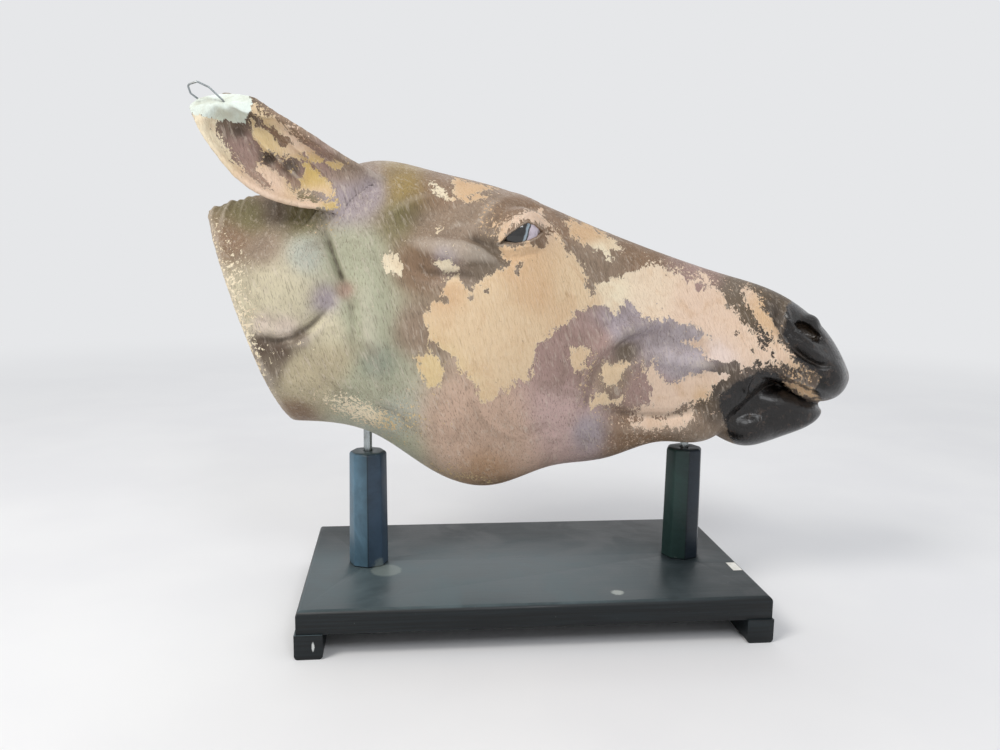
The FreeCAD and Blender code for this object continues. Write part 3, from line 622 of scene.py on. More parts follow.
def mark_hollows(skin):
    """Marks in millimetres how far each vertex lies under its neighbours: plus in a crease."""
    places, normals = arrays(skin)
    edges = np.array([(edge.verts[0].index, edge.verts[1].index) for edge in skin.edges])
    linked = np.bincount(edges.ravel(), minlength=len(places))

    def mean_of_neighbours(values):
        total = np.zeros_like(values)
        np.add.at(total, edges[:, 0], values[edges[:, 1]])
        np.add.at(total, edges[:, 1], values[edges[:, 0]])
        return total / linked[:, None]

    around = places
    for _ in range(5):
        around = mean_of_neighbours(around)
    depth = ((around - places) * normals).sum(axis=1)[:, None]
    for _ in range(2):
        depth = mean_of_neighbours(depth)
    depth[np.abs(places[:, 1]) < 0.006] = 0
    layer = skin.verts.layers.float.new("hollow")
    for vert, value in zip(skin.verts, depth[:, 0] / MM):
        vert[layer] = value


def ear_share(skin):
    """How far each vertex belongs to the ear: 1 on it and 0 off it."""
    layer = skin.verts.layers.float["ear"]
    return np.array([vert[layer] for vert in skin.verts])


def hair_locks(pixels):
    """Combed locks of the mane along the top of the neck."""
    crest = ((208, 214), (240, 208), (270, 206), (300, 212), (335, 216))
    distance, _, _ = line_distance(pixels, crest)
    across = pixels[:, 0] + 0.55 * pixels[:, 1]
    drift = across + 3.2 * np.sin(pixels[:, 1] / 7.0 + across / 23.0)
    wave = np.sin(drift / 2.9 + 2.3 * np.sin(across / 13.0)) + 0.7 * np.sin(drift / 1.25 + 1.1)
    swell = 0.75 + 0.45 * np.sin(across / 17.0 + 0.8) + 0.3 * np.sin(across / 6.1)
    return 1.25 * MM * wave * swell * np.exp(-(distance / 19) ** 2)


def open_eye(places, pixels, seen, settings):
    """Draws the skin over the eyeball into two lids and an opening."""
    middle, radius = middle_and_radius("eye_right")
    middle = np.array(middle)
    offset = places - middle
    reach = np.linalg.norm(offset, axis=1)
    out = offset / reach[:, None]
    inside = inside_distance(pixels, EYE_OPENING)
    close_by = np.abs(pixels - np.array(EYE_PIXEL)).max(axis=1) < EYE_REACH_PX
    near = (seen > 0.02) & close_by & (reach < radius * LID_REACH_SHARE)
    lid = radius + settings.lid_thickness
    held = np.maximum(reach, lid)
    close = near & (inside < 0)
    reach = np.where(close, held, reach)
    opened = smooth_step(-0.7, 0.5, inside)
    sunk = reach * (1 - opened) + (radius - OPENING_DEPTH) * opened
    target = np.where(near & (inside > -3), sunk, reach)
    return middle + out * target[:, None]


def half_skin(settings):
    """Right half of the head and ear with its relief, still open at the middle plane."""
    outer, inner = skins_of_casting()
    ear = copy_of(("ear_left",))
    for part in (ear, other_side(ear), copy_of(("eye_left", "eye_right"))):
        data = bpy.data.meshes.new("part")
        part.to_mesh(data)
        part.free()
        outer.from_mesh(data)
        bpy.data.meshes.remove(data)
    skin = voxel_skin(outer, settings.skin_grid)
    geometry = skin.verts[:] + skin.edges[:] + skin.faces[:]
    bmesh.ops.bisect_plane(skin, geom=geometry, dist=TOUCH, plane_co=(0, 0, 0),
                           plane_no=(0, 1, 0), clear_outer=True)
    for vert in skin.verts:
        if abs(vert.co.y) < 2 * TOUCH:
            vert.co.y = 0
    smooth(skin, skin.verts[:], 5)
    soften_round_eye(skin)
    mark_ear(skin)
    for _, middle, radii, levels in CLOSE_AREAS:
        for level in range(levels):
            spread = 1.0 - FINER_STEP * level
            oval = middle, (radii[0] * spread, radii[1] * spread), 0
            share = oval_distance(to_photo(arrays(skin)[0]), *oval)
            chosen = {v for v, s in zip(skin.verts, share) if s < 1}
            edges = [e for e in skin.edges if e.verts[0] in chosen and e.verts[1] in chosen]
            bmesh.ops.subdivide_edges(skin, edges=edges, cuts=1, use_grid_fill=True)
            share = oval_distance(to_photo(arrays(skin)[0]), *oval)
            smooth(skin, [v for v, s in zip(skin.verts, share) if s < 1], 2)
    places, normals = arrays(skin)
    pixels = to_photo(places)
    seen = facing(places, normals)
    on_ear = ear_share(skin)
    height = face_relief(pixels, on_ear) * seen
    places += normals * height[:, None]
    put_back(skin, places)
    smooth(skin, skin.verts[:], 1)
    places, normals = arrays(skin)
    pixels = to_photo(places)
    seen = facing(places, normals)
    put_back(skin, open_eye(places, pixels, seen, settings))
    mark_hollows(skin)
    return skin, inner


def soften_round_eye(skin):
    """Lets the skin run smoothly from the eyeball into the cheek and brow."""
    middle, radius = middle_and_radius("eye_right")
    around = [v for v in skin.verts if (v.co - middle).length < radius * SOFT_REACH_SHARE]
    for _ in range(SOFT_ROUNDS):
        smooth(skin, around, 1, 0.6)
        for vert in around:
            offset = vert.co - middle
            if offset.length < radius + SKIN_OVER_EYE:
                vert.co = middle + offset.normalized() * (radius + SKIN_OVER_EYE)


def close_holes(mesh):
    """Closes every hole with triangles."""
    open_edges = [e for e in mesh.edges if e.is_boundary]
    made = bmesh.ops.holes_fill(mesh, edges=open_edges, sides=0)
    bmesh.ops.triangulate(mesh, faces=made["faces"])
    return made["faces"]


def cut_away(mesh, point, normal):
    """Cuts off everything past a plane and leaves the cut open."""
    geometry = mesh.verts[:] + mesh.edges[:] + mesh.faces[:]
    bmesh.ops.bisect_plane(mesh, geom=geometry, dist=TOUCH, plane_co=point, plane_no=normal,
                           clear_outer=True)


def other_side(mesh):
    """A mirrored copy of a bmesh on the other side of the middle plane."""
    copy = mesh.copy()
    bmesh.ops.scale(copy, vec=(1, -1, 1), verts=copy.verts)
    bmesh.ops.reverse_faces(copy, faces=copy.faces)
    return copy


def rod_bore(node):
    """A closed cylinder in the place of a rod's hole in the plaster."""
    low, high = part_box(node)
    mesh = bmesh.new()
    radius, depth, height, sides = 8 * MM, 120 * MM, 190 * MM, 40
    middle = Matrix.Translation(((low.x + high.x) / 2, 0, height))
    bmesh.ops.create_cone(mesh, cap_ends=True, segments=sides, radius1=radius, radius2=radius,
                          depth=depth, matrix=middle)
    return mesh


def carved(body, tools):
    """A closed bmesh less some closed bmeshes."""
    thing = new_object("body", body)
    cutters = []
    for tool in tools:
        cutter = new_object("cutter", tool)
        cut = thing.modifiers.new("cut", "BOOLEAN")
        cut.operation = "DIFFERENCE"
        cut.solver = "EXACT"
        cut.object = cutter
        cutters.append(cutter)
    bpy.context.view_layer.update()
    mesh = applied(thing)
    for cutter in cutters:
        bpy.data.objects.remove(cutter)
    bmesh.ops.remove_doubles(mesh, verts=mesh.verts, dist=WELD / 2)
    bmesh.ops.dissolve_degenerate(mesh, edges=mesh.edges, dist=WELD / 2)
    return mesh


def split_off_ear(skin):
    """Takes the ear off the head as a bmesh of its own, both closed."""
    ear = skin.copy()
    for mesh, wanted in ((skin, False), (ear, True)):
        layer = mesh.verts.layers.float["ear"]
        gone = [f for f in mesh.faces if all(v[layer] > 0.5 for v in f.verts) != wanted]
        bmesh.ops.delete(mesh, geom=gone, context="FACES")
        groups = sorted(islands(mesh), key=len)
        strays = [f for group in groups[:-1] for f in group]
        bmesh.ops.delete(mesh, geom=strays, context="FACES")
    close_holes(ear)
    return ear


def ear_break():
    """A point and the direction of the slanting break of the right ear."""
    turn, bevel = math.radians(79.5), math.radians(39.0)
    normal = Vector((-math.cos(turn) * math.cos(bevel), -math.sin(bevel),
                     math.sin(turn) * math.cos(bevel)))
    reach = max(v.co.dot(normal) for v in NODES["ear_right"].data.vertices)
    return normal * reach, normal


def fill_tip(ear):
    """Fills the hollow of the ear with plaster towards its break, as a lump with no hard edge."""
    point, normal = ear_break()
    depths = {v: (point - v.co).dot(normal) for v in ear.verts}
    depths = {v: depth for v, depth in depths.items() if -4 * MM < depth < 32 * MM}
    mesh = bmesh.new()
    for vert in depths:
        mesh.verts.new(vert.co)
    bmesh.ops.convex_hull(mesh, input=mesh.verts)
    hull = BVHTree.FromBMesh(mesh)
    mesh.free()
    ear.normal_update()
    moved = {}
    for vert, depth in depths.items():
        start = vert.co + vert.normal * 0.8 * MM
        hit, _, _, distance = hull.ray_cast(start, vert.normal, 30 * MM)
        if hit is not None:
            wobble = 1.5 * math.sin(vert.co.x * 310) + math.sin(vert.co.y * 420 + 1)
            share = float(smooth_step((19 + wobble) * MM, (7 + wobble) * MM, depth))
            moved[vert] = vert.co + vert.normal * distance * 0.93 * share
    for vert, target in moved.items():
        vert.co = target
    smooth(ear, list(moved), 6)


def make_head(settings):
    """Both halves of the casting and both ears."""
    skin, inner = half_skin(settings)
    ear = split_off_ear(skin)
    close_holes(skin)
    point, back = neck_cut()
    cut_away(skin, point - back * 0.8 * MM, back)
    close_holes(skin)
    hollow = BVHTree.FromBMesh(inner)
    head = carved(skin, [rod_bore("rod_rear"), rod_bore("rod_front")])
    head = carved(head, [inner])
    bmesh.ops.triangulate(head, faces=[f for f in head.faces if len(f.verts) > 4])
    for face in head.faces:
        _, _, _, distance = hollow.find_nearest(face.calc_center_median())
        face.material_index = 1 if distance < 0.3 * MM else 0
    left_head, left_ear = other_side(head), other_side(ear)
    point, normal = ear_break()
    fill_tip(ear)
    cut_away(ear, point, normal)
    for face in close_holes(ear):
        face.material_index = 1
    things = {}
    finishes = (painted_plaster(), raw_plaster())
    for name, mesh in (("plaster_head_right", head), ("plaster_head_left", left_head),
                       ("plaster_ear_right", ear), ("plaster_ear_left", left_ear)):
        things[name] = new_object(name, mesh, crease_deg=50)
        for finish in finishes:
            things[name].data.materials.append(finish)
        paint(things[name], "ear" in name, name == "plaster_ear_right")
    return things


def linear(name):
    """A palette colour as an array of linear red, green and blue."""
    return np.array(rgb(PALETTE[name])[:3])


def dabbed(pixels, dabs):
    """Colours of soft overlapping dabs at each pixel."""
    total = np.zeros((len(pixels), 3))
    weights = np.zeros((len(pixels), 1))
    for name, middle, radius in dabs:
        distance = np.linalg.norm(pixels - np.array(middle, float), axis=1) / radius
        weight = ((24 / radius) / (1 + distance ** 2) ** 3)[:, None]
        total += weight * linear(name)
        weights += weight
    return total / weights


def bare_distance(pixels, on_ear):
    """Pixels to the edge of the nearest bare patch, positive inside it."""
    patches = EAR_PATCHES if on_ear else BARE_PATCHES
    distance = np.full(len(pixels), -40.0)
    for outline in patches.values():
        distance = np.maximum(distance, inside_distance(pixels, outline))
    for middle, radius in (EAR_REMAINS if on_ear else PAINT_REMAINS):
        away = np.linalg.norm(pixels - np.array(middle, float), axis=1) / radius
        distance -= 14 * np.exp(-away ** 2) * (distance > -3)
    return np.clip(distance, -12, 12)


def black_distance(pixels, on_ear):
    """Pixels to the edge of the black muzzle, positive inside it."""
    distance = np.full(len(pixels), -40.0)
    if not on_ear:
        for outline in BLACK_PARTS.values():
            distance = np.maximum(distance, inside_distance(pixels, outline))
    return np.clip(distance, -12, 12)


def flaking(pixels, on_ear):
    """Share of the surface where small flakes have come off."""
    share = np.full(len(pixels), 0.12)
    for name, (strength, middle, radii, turn_deg) in FLAKED_AREAS.items():
        if name.startswith("ear ") != on_ear:
            continue
        distance = oval_distance(pixels, middle, radii, turn_deg)
        share = np.maximum(share, strength * np.exp(-distance ** 2))
    return share


def set_layer(data, name, values):
    """Stores a number or a colour for each vertex."""
    if values.ndim == 1:
        layer = data.attributes.new(name, "FLOAT", "POINT")
        layer.data.foreach_set("value", values.astype(np.float32))
    else:
        layer = data.attributes.new(name, "FLOAT_COLOR", "POINT")
        whole = np.concatenate([values, np.ones((len(values), 1))], axis=1)
        layer.data.foreach_set("color", whole.astype(np.float32).ravel())


def paint(thing, on_ear, broken):
    """Lays out where the old paint holds, what colour it is and where raw plaster shows."""
    data = thing.data
    places = np.empty(len(data.vertices) * 3)
    data.vertices.foreach_get("co", places)
    places = places.reshape(-1, 3)
    places[:, 1] = -np.abs(places[:, 1])
    pixels = to_photo(places)
    set_layer(data, "bare", bare_distance(pixels, on_ear))
    set_layer(data, "black", black_distance(pixels, on_ear))
    set_layer(data, "flaking", flaking(pixels, on_ear))
    raw = inside_distance(pixels, BROKEN_TIP) if broken else np.full(len(pixels), -12.0)
    set_layer(data, "raw", np.clip(raw, -12, 12))
    set_layer(data, "paint_tone", dabbed(pixels, PAINT_DABS))
    set_layer(data, "ground_tone", dabbed(pixels, GROUND_DABS))


def add(tree, kind, links=(), **settings):
    """Adds a shader node with its settings and links. A link is a socket or a plain value."""
    made = tree.nodes.new("ShaderNode" + kind)
    for key, value in settings.items():
        setattr(made, key, value)
    for key, value in dict(links).items():
        if isinstance(value, bpy.types.NodeSocket):
            tree.links.new(value, made.inputs[key])
        else:
            made.inputs[key].default_value = value
    return made


def finish_of(name):
    """A new material with an empty tree, its output and a Principled shader."""
    material = bpy.data.materials.new(name)
    material.use_nodes = True
    tree = material.node_tree
    tree.nodes.clear()
    shader = add(tree, "BsdfPrincipled")
    output = add(tree, "OutputMaterial", {"Surface": shader.outputs[0]})
    output.location = (300, 0)
    return material, tree, shader


def place(tree):
    """The object's own coordinates, which are the row frame in metres."""
    return add(tree, "TexCoord").outputs["Object"]


def stretched(tree, where, sizes, turn_deg=(0, 0, 0)):
    """Coordinates turned and divided by three sizes: millimetres for noise of 1 mm, else shares."""
    turn = [math.radians(angle) for angle in turn_deg]
    turned = add(tree, "Mapping", {"Vector": where, "Rotation": turn})
    return add(tree, "Mapping", {"Vector": turned.outputs[0],
                                "Scale": [1 / size for size in sizes]}).outputs[0]


def noise(tree, where, lump_mm, detail=3.0, rough=0.5, twist=0.0):
    """Noise from 0 to 1, with lumps of so many millimetres."""
    made = add(tree, "TexNoise", {"Vector": where, "Scale": 1 / (lump_mm * MM), "Detail": detail,
                                  "Roughness": rough, "Distortion": twist})
    return made.outputs["Fac"]


def share_of(tree, value, low, high, start=0.0, end=1.0):
    """Maps a value smoothly from low..high to start..end."""
    made = add(tree, "MapRange", {"Value": value, "From Min": low, "From Max": high,
                                  "To Min": start, "To Max": end}, interpolation_type="SMOOTHSTEP")
    return made.outputs[0]


def sum_of(tree, *terms):
    """Adds values, each given as (value, factor)."""
    total = None
    for value, factor in terms:
        part = add(tree, "Math", {0: value, 1: factor}, operation="MULTIPLY").outputs[0]
        if total is not None:
            part = add(tree, "Math", {0: total, 1: part}, operation="ADD").outputs[0]
        total = part
    return total


def times(tree, first, second):
    """One value times another."""
    return add(tree, "Math", {0: first, 1: second}, operation="MULTIPLY").outputs[0]


def blend(tree, share, first, second):
    """One colour over another."""
    made = add(tree, "Mix", {0: share, 6: first, 7: second}, data_type="RGBA")
    return made.outputs[2]


def painted_in(tree, name, kind="Fac"):
    """A vertex layer of the piece itself."""
    return add(tree, "Attribute", attribute_name=name).outputs[kind]


def bump(tree, height, strength, distance, below=None):
    """Turns a height into small relief, over another relief if one is given."""
    links = {"Height": height, "Strength": strength, "Distance": distance}
    if below is not None:
        links["Normal"] = below
    return add(tree, "Bump", links).outputs[0]


def painted_plaster():
    """Plaster cast in a mould, oil painted and flaked: worn tones over tan ground."""
    settings = bpy.context.scene.horse_head
    material, tree, shader = finish_of("plaster_cast_oil_painted_and_flaked")
    where = place(tree)
    # Short hair combed into the surface: gives the eye fine strokes that run down the cheek.
    # A horse's hair is 0.1 mm thick, and these strokes are 1 mm wide, or they wouldn't show.
    strokes = stretched(tree, where, (1.111, 1.429, 9.091), (0, 14, 0))
    hair = noise(tree, strokes, 1.0, 3.0, 0.6, 0.4)
    strokes = stretched(tree, where, (3.125, 3.846, 16.67), (0, 20, 0))
    tufts = noise(tree, strokes, 1.0, 3.0, 0.6, 0.8)
    # Ragged flake edges: coarse islands, torn downwards, and fine crumbs.
    islands_noise = noise(tree, stretched(tree, where, (1, 1, 1.667)), 10.53, 5.0, 0.62, 0.6)
    crumbs = noise(tree, where, 2.381, 4.0, 0.65)
    torn = noise(tree, stretched(tree, where, (1, 1, 2.222)), 4.762, 5.0, 0.7, 0.9)
    bare_layer = painted_in(tree, "bare")
    bare = sum_of(tree, (bare_layer, 1.0), (islands_noise, 20.0), (torn, 20.0), (crumbs, 8.0))
    patch = share_of(tree, bare, 23.9, 24.4)
    fresh_edge = times(tree, share_of(tree, bare, 26.0, 24.6), patch)
    # Pin holes and small chips: gives the flaked zones their salt of light specks.
    flaking_share = painted_in(tree, "flaking")
    chip_noise = noise(tree, where, 3.846, 4.0, 0.7, 0.5)
    hollow = painted_in(tree, "hollow")
    chips = sum_of(tree, (chip_noise, 1.0), (flaking_share, 0.19), (hollow, -0.08),
                   (bare_layer, 0.004))
    chip = share_of(tree, chips, 0.685, 0.70)
    keep = noise(tree, where, 5.556, 5.0, 0.7, 0.3)
    scraps = noise(tree, stretched(tree, where, (1, 1, 1.429)), 13.33, 5.0, 0.65, 0.5)
    edge_share = share_of(tree, bare_layer, 7.0, 0.0)
    left_over = sum_of(tree, (keep, 1.0), (scraps, 0.35), (edge_share, 0.045))
    left_over = share_of(tree, left_over, 0.865, 0.88)
    black = sum_of(tree, (painted_in(tree, "black"), 1.0), (islands_noise, 12.0), (crumbs, 6.0))
    gloss = share_of(tree, black, 7.6, 11.0)
    not_black = share_of(tree, black, 12.5, 8.6)
    open_share = add(tree, "Math", {0: patch, 1: chip}, operation="MAXIMUM").outputs[0]
    keeps = add(tree, "Math", {0: 1.0, 1: times(tree, left_over, 0.85)}, operation="SUBTRACT")
    open_share = times(tree, open_share, keeps.outputs[0])
    open_share = times(tree, open_share, sum_of(tree, (not_black, 0.97), (chip, 0.03)))
    # Ground colour: tan size over the plaster, mottled, paler where paint came off last.
    mottle = noise(tree, where, 26.32, 4.0, 0.6, 0.7)
    ground = painted_in(tree, "ground_tone", "Color")
    ground = blend(tree, share_of(tree, mottle, 0.45, 0.75, 0.0, 0.40), ground, rgb("c9a27a"))
    ground = blend(tree, share_of(tree, hair, 0.52, 0.70, 0.0, 0.20), ground, rgb("f2e6d4"))
    ground = blend(tree, share_of(tree, hair, 0.47, 0.32, 0.0, 0.26), ground, rgb("a98862"))
    rubs = noise(tree, stretched(tree, where, (1, 1, 1.667)), 16.13, 6.0, 0.72, 0.8)
    ground = blend(tree, share_of(tree, rubs, 0.60, 0.72, 0.0, 0.45), ground, rgb("a27e5a"))
    ground = blend(tree, times(tree, fresh_edge, 0.30), ground, rgb("f6e9d2"))
    # Paint colour: soft tones with smoke, worn thin on the hair, paler on the ridges.
    tone = painted_in(tree, "paint_tone", "Color")
    cloud = noise(tree, where, 41.67, 5.0, 0.6, 1.0)
    tone = blend(tree, share_of(tree, cloud, 0.40, 0.75, 0.0, 0.42), tone, rgb("6a5a49"))
    tone = blend(tree, share_of(tree, tufts, 0.50, 0.72, 0.0, 0.36), tone, rgb("d9cbbb"))
    tone = blend(tree, share_of(tree, hair, 0.5, 0.30, 0.0, 0.48), tone, rgb("4a3d31"))
    tone = blend(tree, share_of(tree, hollow, -0.12, -0.7, 0.0, 0.30), tone, rgb("dccfc0"))
    # Black muzzle: gives a wet glossy nose, brown where it is rubbed.
    rubbed = noise(tree, where, 8.333, 5.0, 0.65, 0.6)
    rubbed = share_of(tree, rubbed, 0.52, 0.72, 0.0, 0.5)
    black_tone = blend(tree, rubbed, settings.muzzle_colour, rgb("54443a"))
    tone = blend(tree, gloss, tone, black_tone)
    colour = blend(tree, open_share, tone, ground)
    # Painted shade in the creases, darker the deeper they lie: draws the lids, the mouth,
    # the jaw and the crease behind it.
    crease_shade = share_of(tree, hollow, 0.15, 1.3, 0.0, 0.80)
    colour = blend(tree, crease_shade, colour, settings.crease_shade_colour)
    speck = noise(tree, where, 1.111, 2.0, 0.6)
    colour = blend(tree, share_of(tree, speck, 0.70, 0.76, 0.0, 0.5), colour, rgb("4a3826"))
    # Raw plaster runs down from the broken tip: gives the ear its ragged chalk-white end.
    raw = sum_of(tree, (painted_in(tree, "raw"), 1.0), (torn, 14.0), (crumbs, 5.0))
    raw_share = share_of(tree, raw, 9.4, 9.9)
    chalk = blend(tree, share_of(tree, cloud, 0.4, 0.7), rgb("eaf4ec"), rgb("d4d8c8"))
    colour = blend(tree, raw_share, colour, chalk)
    open_share = add(tree, "Math", {0: open_share, 1: raw_share}, operation="MAXIMUM").outputs[0]
    # Gloss: old oil paint shines a little, bare ground is matt, the muzzle is varnished.
    rough_paint = share_of(tree, cloud, 0.3, 0.7, 0.36, 0.56)
    rough = add(tree, "Mix", {0: gloss, 2: rough_paint, 3: 0.20}).outputs[0]
    rough = add(tree, "Mix", {0: open_share, 2: rough, 3: 0.78}).outputs[0]
    # Relief: paint stands up to 0.5 mm over the ground, and combed hair runs through both.
    paint_height = add(tree, "Math", {0: 1.0, 1: open_share}, operation="SUBTRACT").outputs[0]
    relief = bump(tree, hair, 0.5, 1.4 * MM)
    relief = bump(tree, tufts, 0.55, 2.8 * MM, relief)
    relief = bump(tree, crumbs, 0.12, 0.8 * MM, relief)
    relief = bump(tree, paint_height, 0.75, 0.5 * MM, relief)
    # Varnish lies smooth over the strokes of the muzzle: gives its wet, broken highlights.
    varnish = times(tree, times(tree, gloss, 0.4), paint_height)
    for socket, value in (("Base Color", colour), ("Roughness", rough), ("Normal", relief),
                          ("Coat Weight", varnish)):
        tree.links.new(value, shader.inputs[socket])
    shader.inputs["Coat Roughness"].default_value = 0.12
    shader.inputs["Specular IOR Level"].default_value = 0.3
    tree.links.new(bump(tree, tufts, 0.25, 1.6 * MM), shader.inputs["Coat Normal"])
    return material


def raw_plaster():
    """Raw plaster as it broke or set: chalk white with a cool tint, pits and grit."""
    material, tree, shader = finish_of("plaster_raw_broken")
    where = place(tree)
    # Cool chalk with faint stains: gives the break its pale mint look.
    stain = noise(tree, where, 16.67, 4.0, 0.6)
    chalk = bpy.context.scene.horse_head.plaster_colour
    colour = blend(tree, share_of(tree, stain, 0.4, 0.75, 0.0, 0.35), chalk, rgb("cfd3c3"))
    # Real grit is 0.1 mm. This is 1.4 mm, or it wouldn't show.
    grit = noise(tree, where, 1.429, 4.0, 0.7)
    colour = blend(tree, share_of(tree, grit, 0.62, 0.75, 0.0, 0.35), colour, rgb("a9a593"))
    # Lumps and pores: gives the torn face its uneven shadow.
    lumps = noise(tree, where, 6.667, 5.0, 0.65, 0.5)
    relief = bump(tree, grit, 0.25, 0.8 * MM, bump(tree, lumps, 0.55, 3 * MM))
    tree.links.new(colour, shader.inputs["Base Color"])
    tree.links.new(relief, shader.inputs["Normal"])
    shader.inputs["Roughness"].default_value = 0.9
    shader.inputs["Specular IOR Level"].default_value = 0.3
    return material


def glazed_eye():
    """Eyeball painted and varnished: near black iris, lilac white towards the muzzle."""
    material, tree, shader = finish_of("eye_painted_and_varnished")
    where = place(tree)
    middle, radius = middle_and_radius("eye_right")
    parts = add(tree, "SeparateXYZ", {0: where}).outputs
    along = add(tree, "Math", {0: parts[0], 1: middle.x}, operation="SUBTRACT").outputs[0]
    # The edge of the white slants forward and up: gives the eye its look ahead.
    slant = sum_of(tree, (along, 1.0), (parts[2], -0.25))
    edge = -0.25 * middle.z
    wobble = noise(tree, where, 6.25, 3.0, 0.6)
    slant = sum_of(tree, (slant, 1.0), (wobble, 0.004))
    white = share_of(tree, slant, edge + 0.0105, edge + 0.0118)
    corner = share_of(tree, slant, edge + 0.0205, edge + 0.0225)
    # A pale painted highlight runs round the iris before the white: a reflection on the eye's wet
    # edge.
    rim = times(tree, share_of(tree, slant, edge + 0.0060, edge + 0.0078),
                share_of(tree, slant, edge + 0.0102, edge + 0.0090))
    clouds = noise(tree, where, 4.762, 4.0, 0.6)
    iris = bpy.context.scene.horse_head.iris_colour
    dark = blend(tree, share_of(tree, clouds, 0.4, 0.75, 0.0, 0.6), iris, rgb("2c2a26"))
    pale = blend(tree, share_of(tree, clouds, 0.4, 0.7, 0.0, 0.6), rgb("c6bac4"), rgb("93858f"))
    # The painted highlight along the iris's edge.
    dark = blend(tree, times(tree, rim, 0.75), dark, rgb("9fb0bb"))
    colour = blend(tree, white, dark, pale)
    colour = blend(tree, corner, colour, rgb("4a241c"))
    tree.links.new(colour, shader.inputs["Base Color"])
    # Thick varnish: gives a sharp wet highlight.
    shader.inputs["Roughness"].default_value = 0.12
    shader.inputs["Coat Weight"].default_value = 0.6
    shader.inputs["Coat Roughness"].default_value = 0.05
    tree.links.new(bump(tree, clouds, 0.08, 0.6 * MM), shader.inputs["Normal"])
    return material


def black_painted_wood():
    """Planed wood brushed black: cool bloom of dust and painted sheen on top, a drip and a smear.
    """
    settings = bpy.context.scene.horse_head_stand
    material, tree, shader = finish_of("wood_planed_and_brushed_black")
    where = place(tree)
    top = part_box("base_board")[1].z
    # Brush marks and grain along the board: give the black its faint streaks. Bristles leave
    # marks of 0.3 mm. These are 4 mm wide, or they wouldn't show.
    grain = noise(tree, stretched(tree, where, (166.7, 4.167, 4.167)), 1.0, 4.0, 0.6, 1.2)
    cloud = noise(tree, where, 71.43, 5.0, 0.6, 0.8)
    brushed = share_of(tree, grain, 0.35, 0.7, 0.0, 0.6)
    colour = blend(tree, brushed, settings.wood_colour, rgb("1d262a"))
    up = add(tree, "SeparateXYZ", {0: add(tree, "NewGeometry").outputs["Normal"]}).outputs
    on_top = share_of(tree, up[2], 0.6, 0.95)
    # Dust on the top faces only, with a painted sheen that lightens them like a reflection of the
    # room: gives the board its dull blue grey bloom.
    spread = add(tree, "SeparateXYZ", {0: where}).outputs
    # Less towards the back and the right: thinner dust, and at the back painted shadow of the head.
    settled_and_shaded = times(tree, share_of(tree, spread[0], 0.24, -0.04, 0.15, 0.9),
                    share_of(tree, spread[1], 0.11, -0.03, 0.15, 1.0))
    dust_and_sheen = times(tree, times(tree, on_top, settled_and_shaded), share_of(tree, cloud, 0.30, 0.70, 0.50, 0.90))
    colour = blend(tree, dust_and_sheen, colour, settings.dust_and_sheen_colour)
    # Painted light on the posts: facets turned to -X, towards the key lamp, are lighter, those
    # turned to +X darker. A painted sheen tints the rear post steel blue and slate, the front one
    # bottle green and navy.
    not_top = add(tree, "Math", {0: 1.0, 1: on_top}, operation="SUBTRACT").outputs[0]
    on_post = times(tree, share_of(tree, spread[2], top + 1 * MM, top + 2 * MM), not_top)
    rear = times(tree, on_post, share_of(tree, spread[0], 0.05, -0.05))
    front = times(tree, on_post, share_of(tree, spread[0], -0.05, 0.05))
    # Cloudy noise that makes the painted light on the posts patchy.
    worn = share_of(tree, cloud, 0.35, 0.65, 0.55, 1.0)
    for post, low, high, strength, code in (
        (rear, 0.1, -0.6, 1.0, "5f7f92"), (rear, -0.2, 0.5, 0.8, "42566a"),
        (front, 0.1, -0.6, 1.0, "2b443f"), (front, -0.2, 0.5, 0.8, "27323e"),
    ):
        side = share_of(tree, up[0], low, high, 0.0, strength)
        colour = blend(tree, times(tree, times(tree, post, worn), side), colour, rgb(code))
    fleck = noise(tree, where, 3.03, 3.0, 0.7)
    colour = blend(tree, share_of(tree, fleck, 0.72, 0.77, 0.0, 0.6), colour, rgb("9aa09a"))
    # A whitish drip on the board and a smear of glue by a foot: the only marks of use.
    for spot, radius, code, strength in (((0.075, -0.115), 0.010, "aeb4ae", 0.75),
                                         ((-0.182, -0.030), 0.022, "8d9690", 0.45)):
        away = add(tree, "VectorMath", {0: where, 1: (*spot, top)}, operation="DISTANCE")
        away = sum_of(tree, (away.outputs["Value"], 1.0), (fleck, 6 * MM), (cloud, 6 * MM))
        spilt = share_of(tree, away, radius + 4 * MM, radius, 0.0, strength)
        colour = blend(tree, spilt, colour, rgb(code))
    # A short upright scratch on the end of the rear runner: chalk pale.
    scratch = stretched(tree, where, (1, 1, 3.333))
    scratch = add(tree, "VectorMath", {0: scratch, 1: (-0.2565, -0.1415, 0.0043)},
                  operation="DISTANCE")
    scratch = sum_of(tree, (scratch.outputs["Value"], 1.0), (fleck, 1.2 * MM))
    scratched = share_of(tree, scratch, 2.4 * MM, 1.6 * MM, 0.0, 0.8)
    colour = blend(tree, scratched, colour, rgb("d5d8d6"))
    rough = share_of(tree, cloud, 0.3, 0.7, 0.34, 0.52)
    shader.inputs["Specular IOR Level"].default_value = 0.35
    relief = bump(tree, grain, 0.18, 0.8 * MM)
    relief = bump(tree, fleck, 0.10, 0.6 * MM, relief)
    for socket, value in (("Base Color", colour), ("Roughness", rough), ("Normal", relief)):
        tree.links.new(value, shader.inputs[socket])
    return material


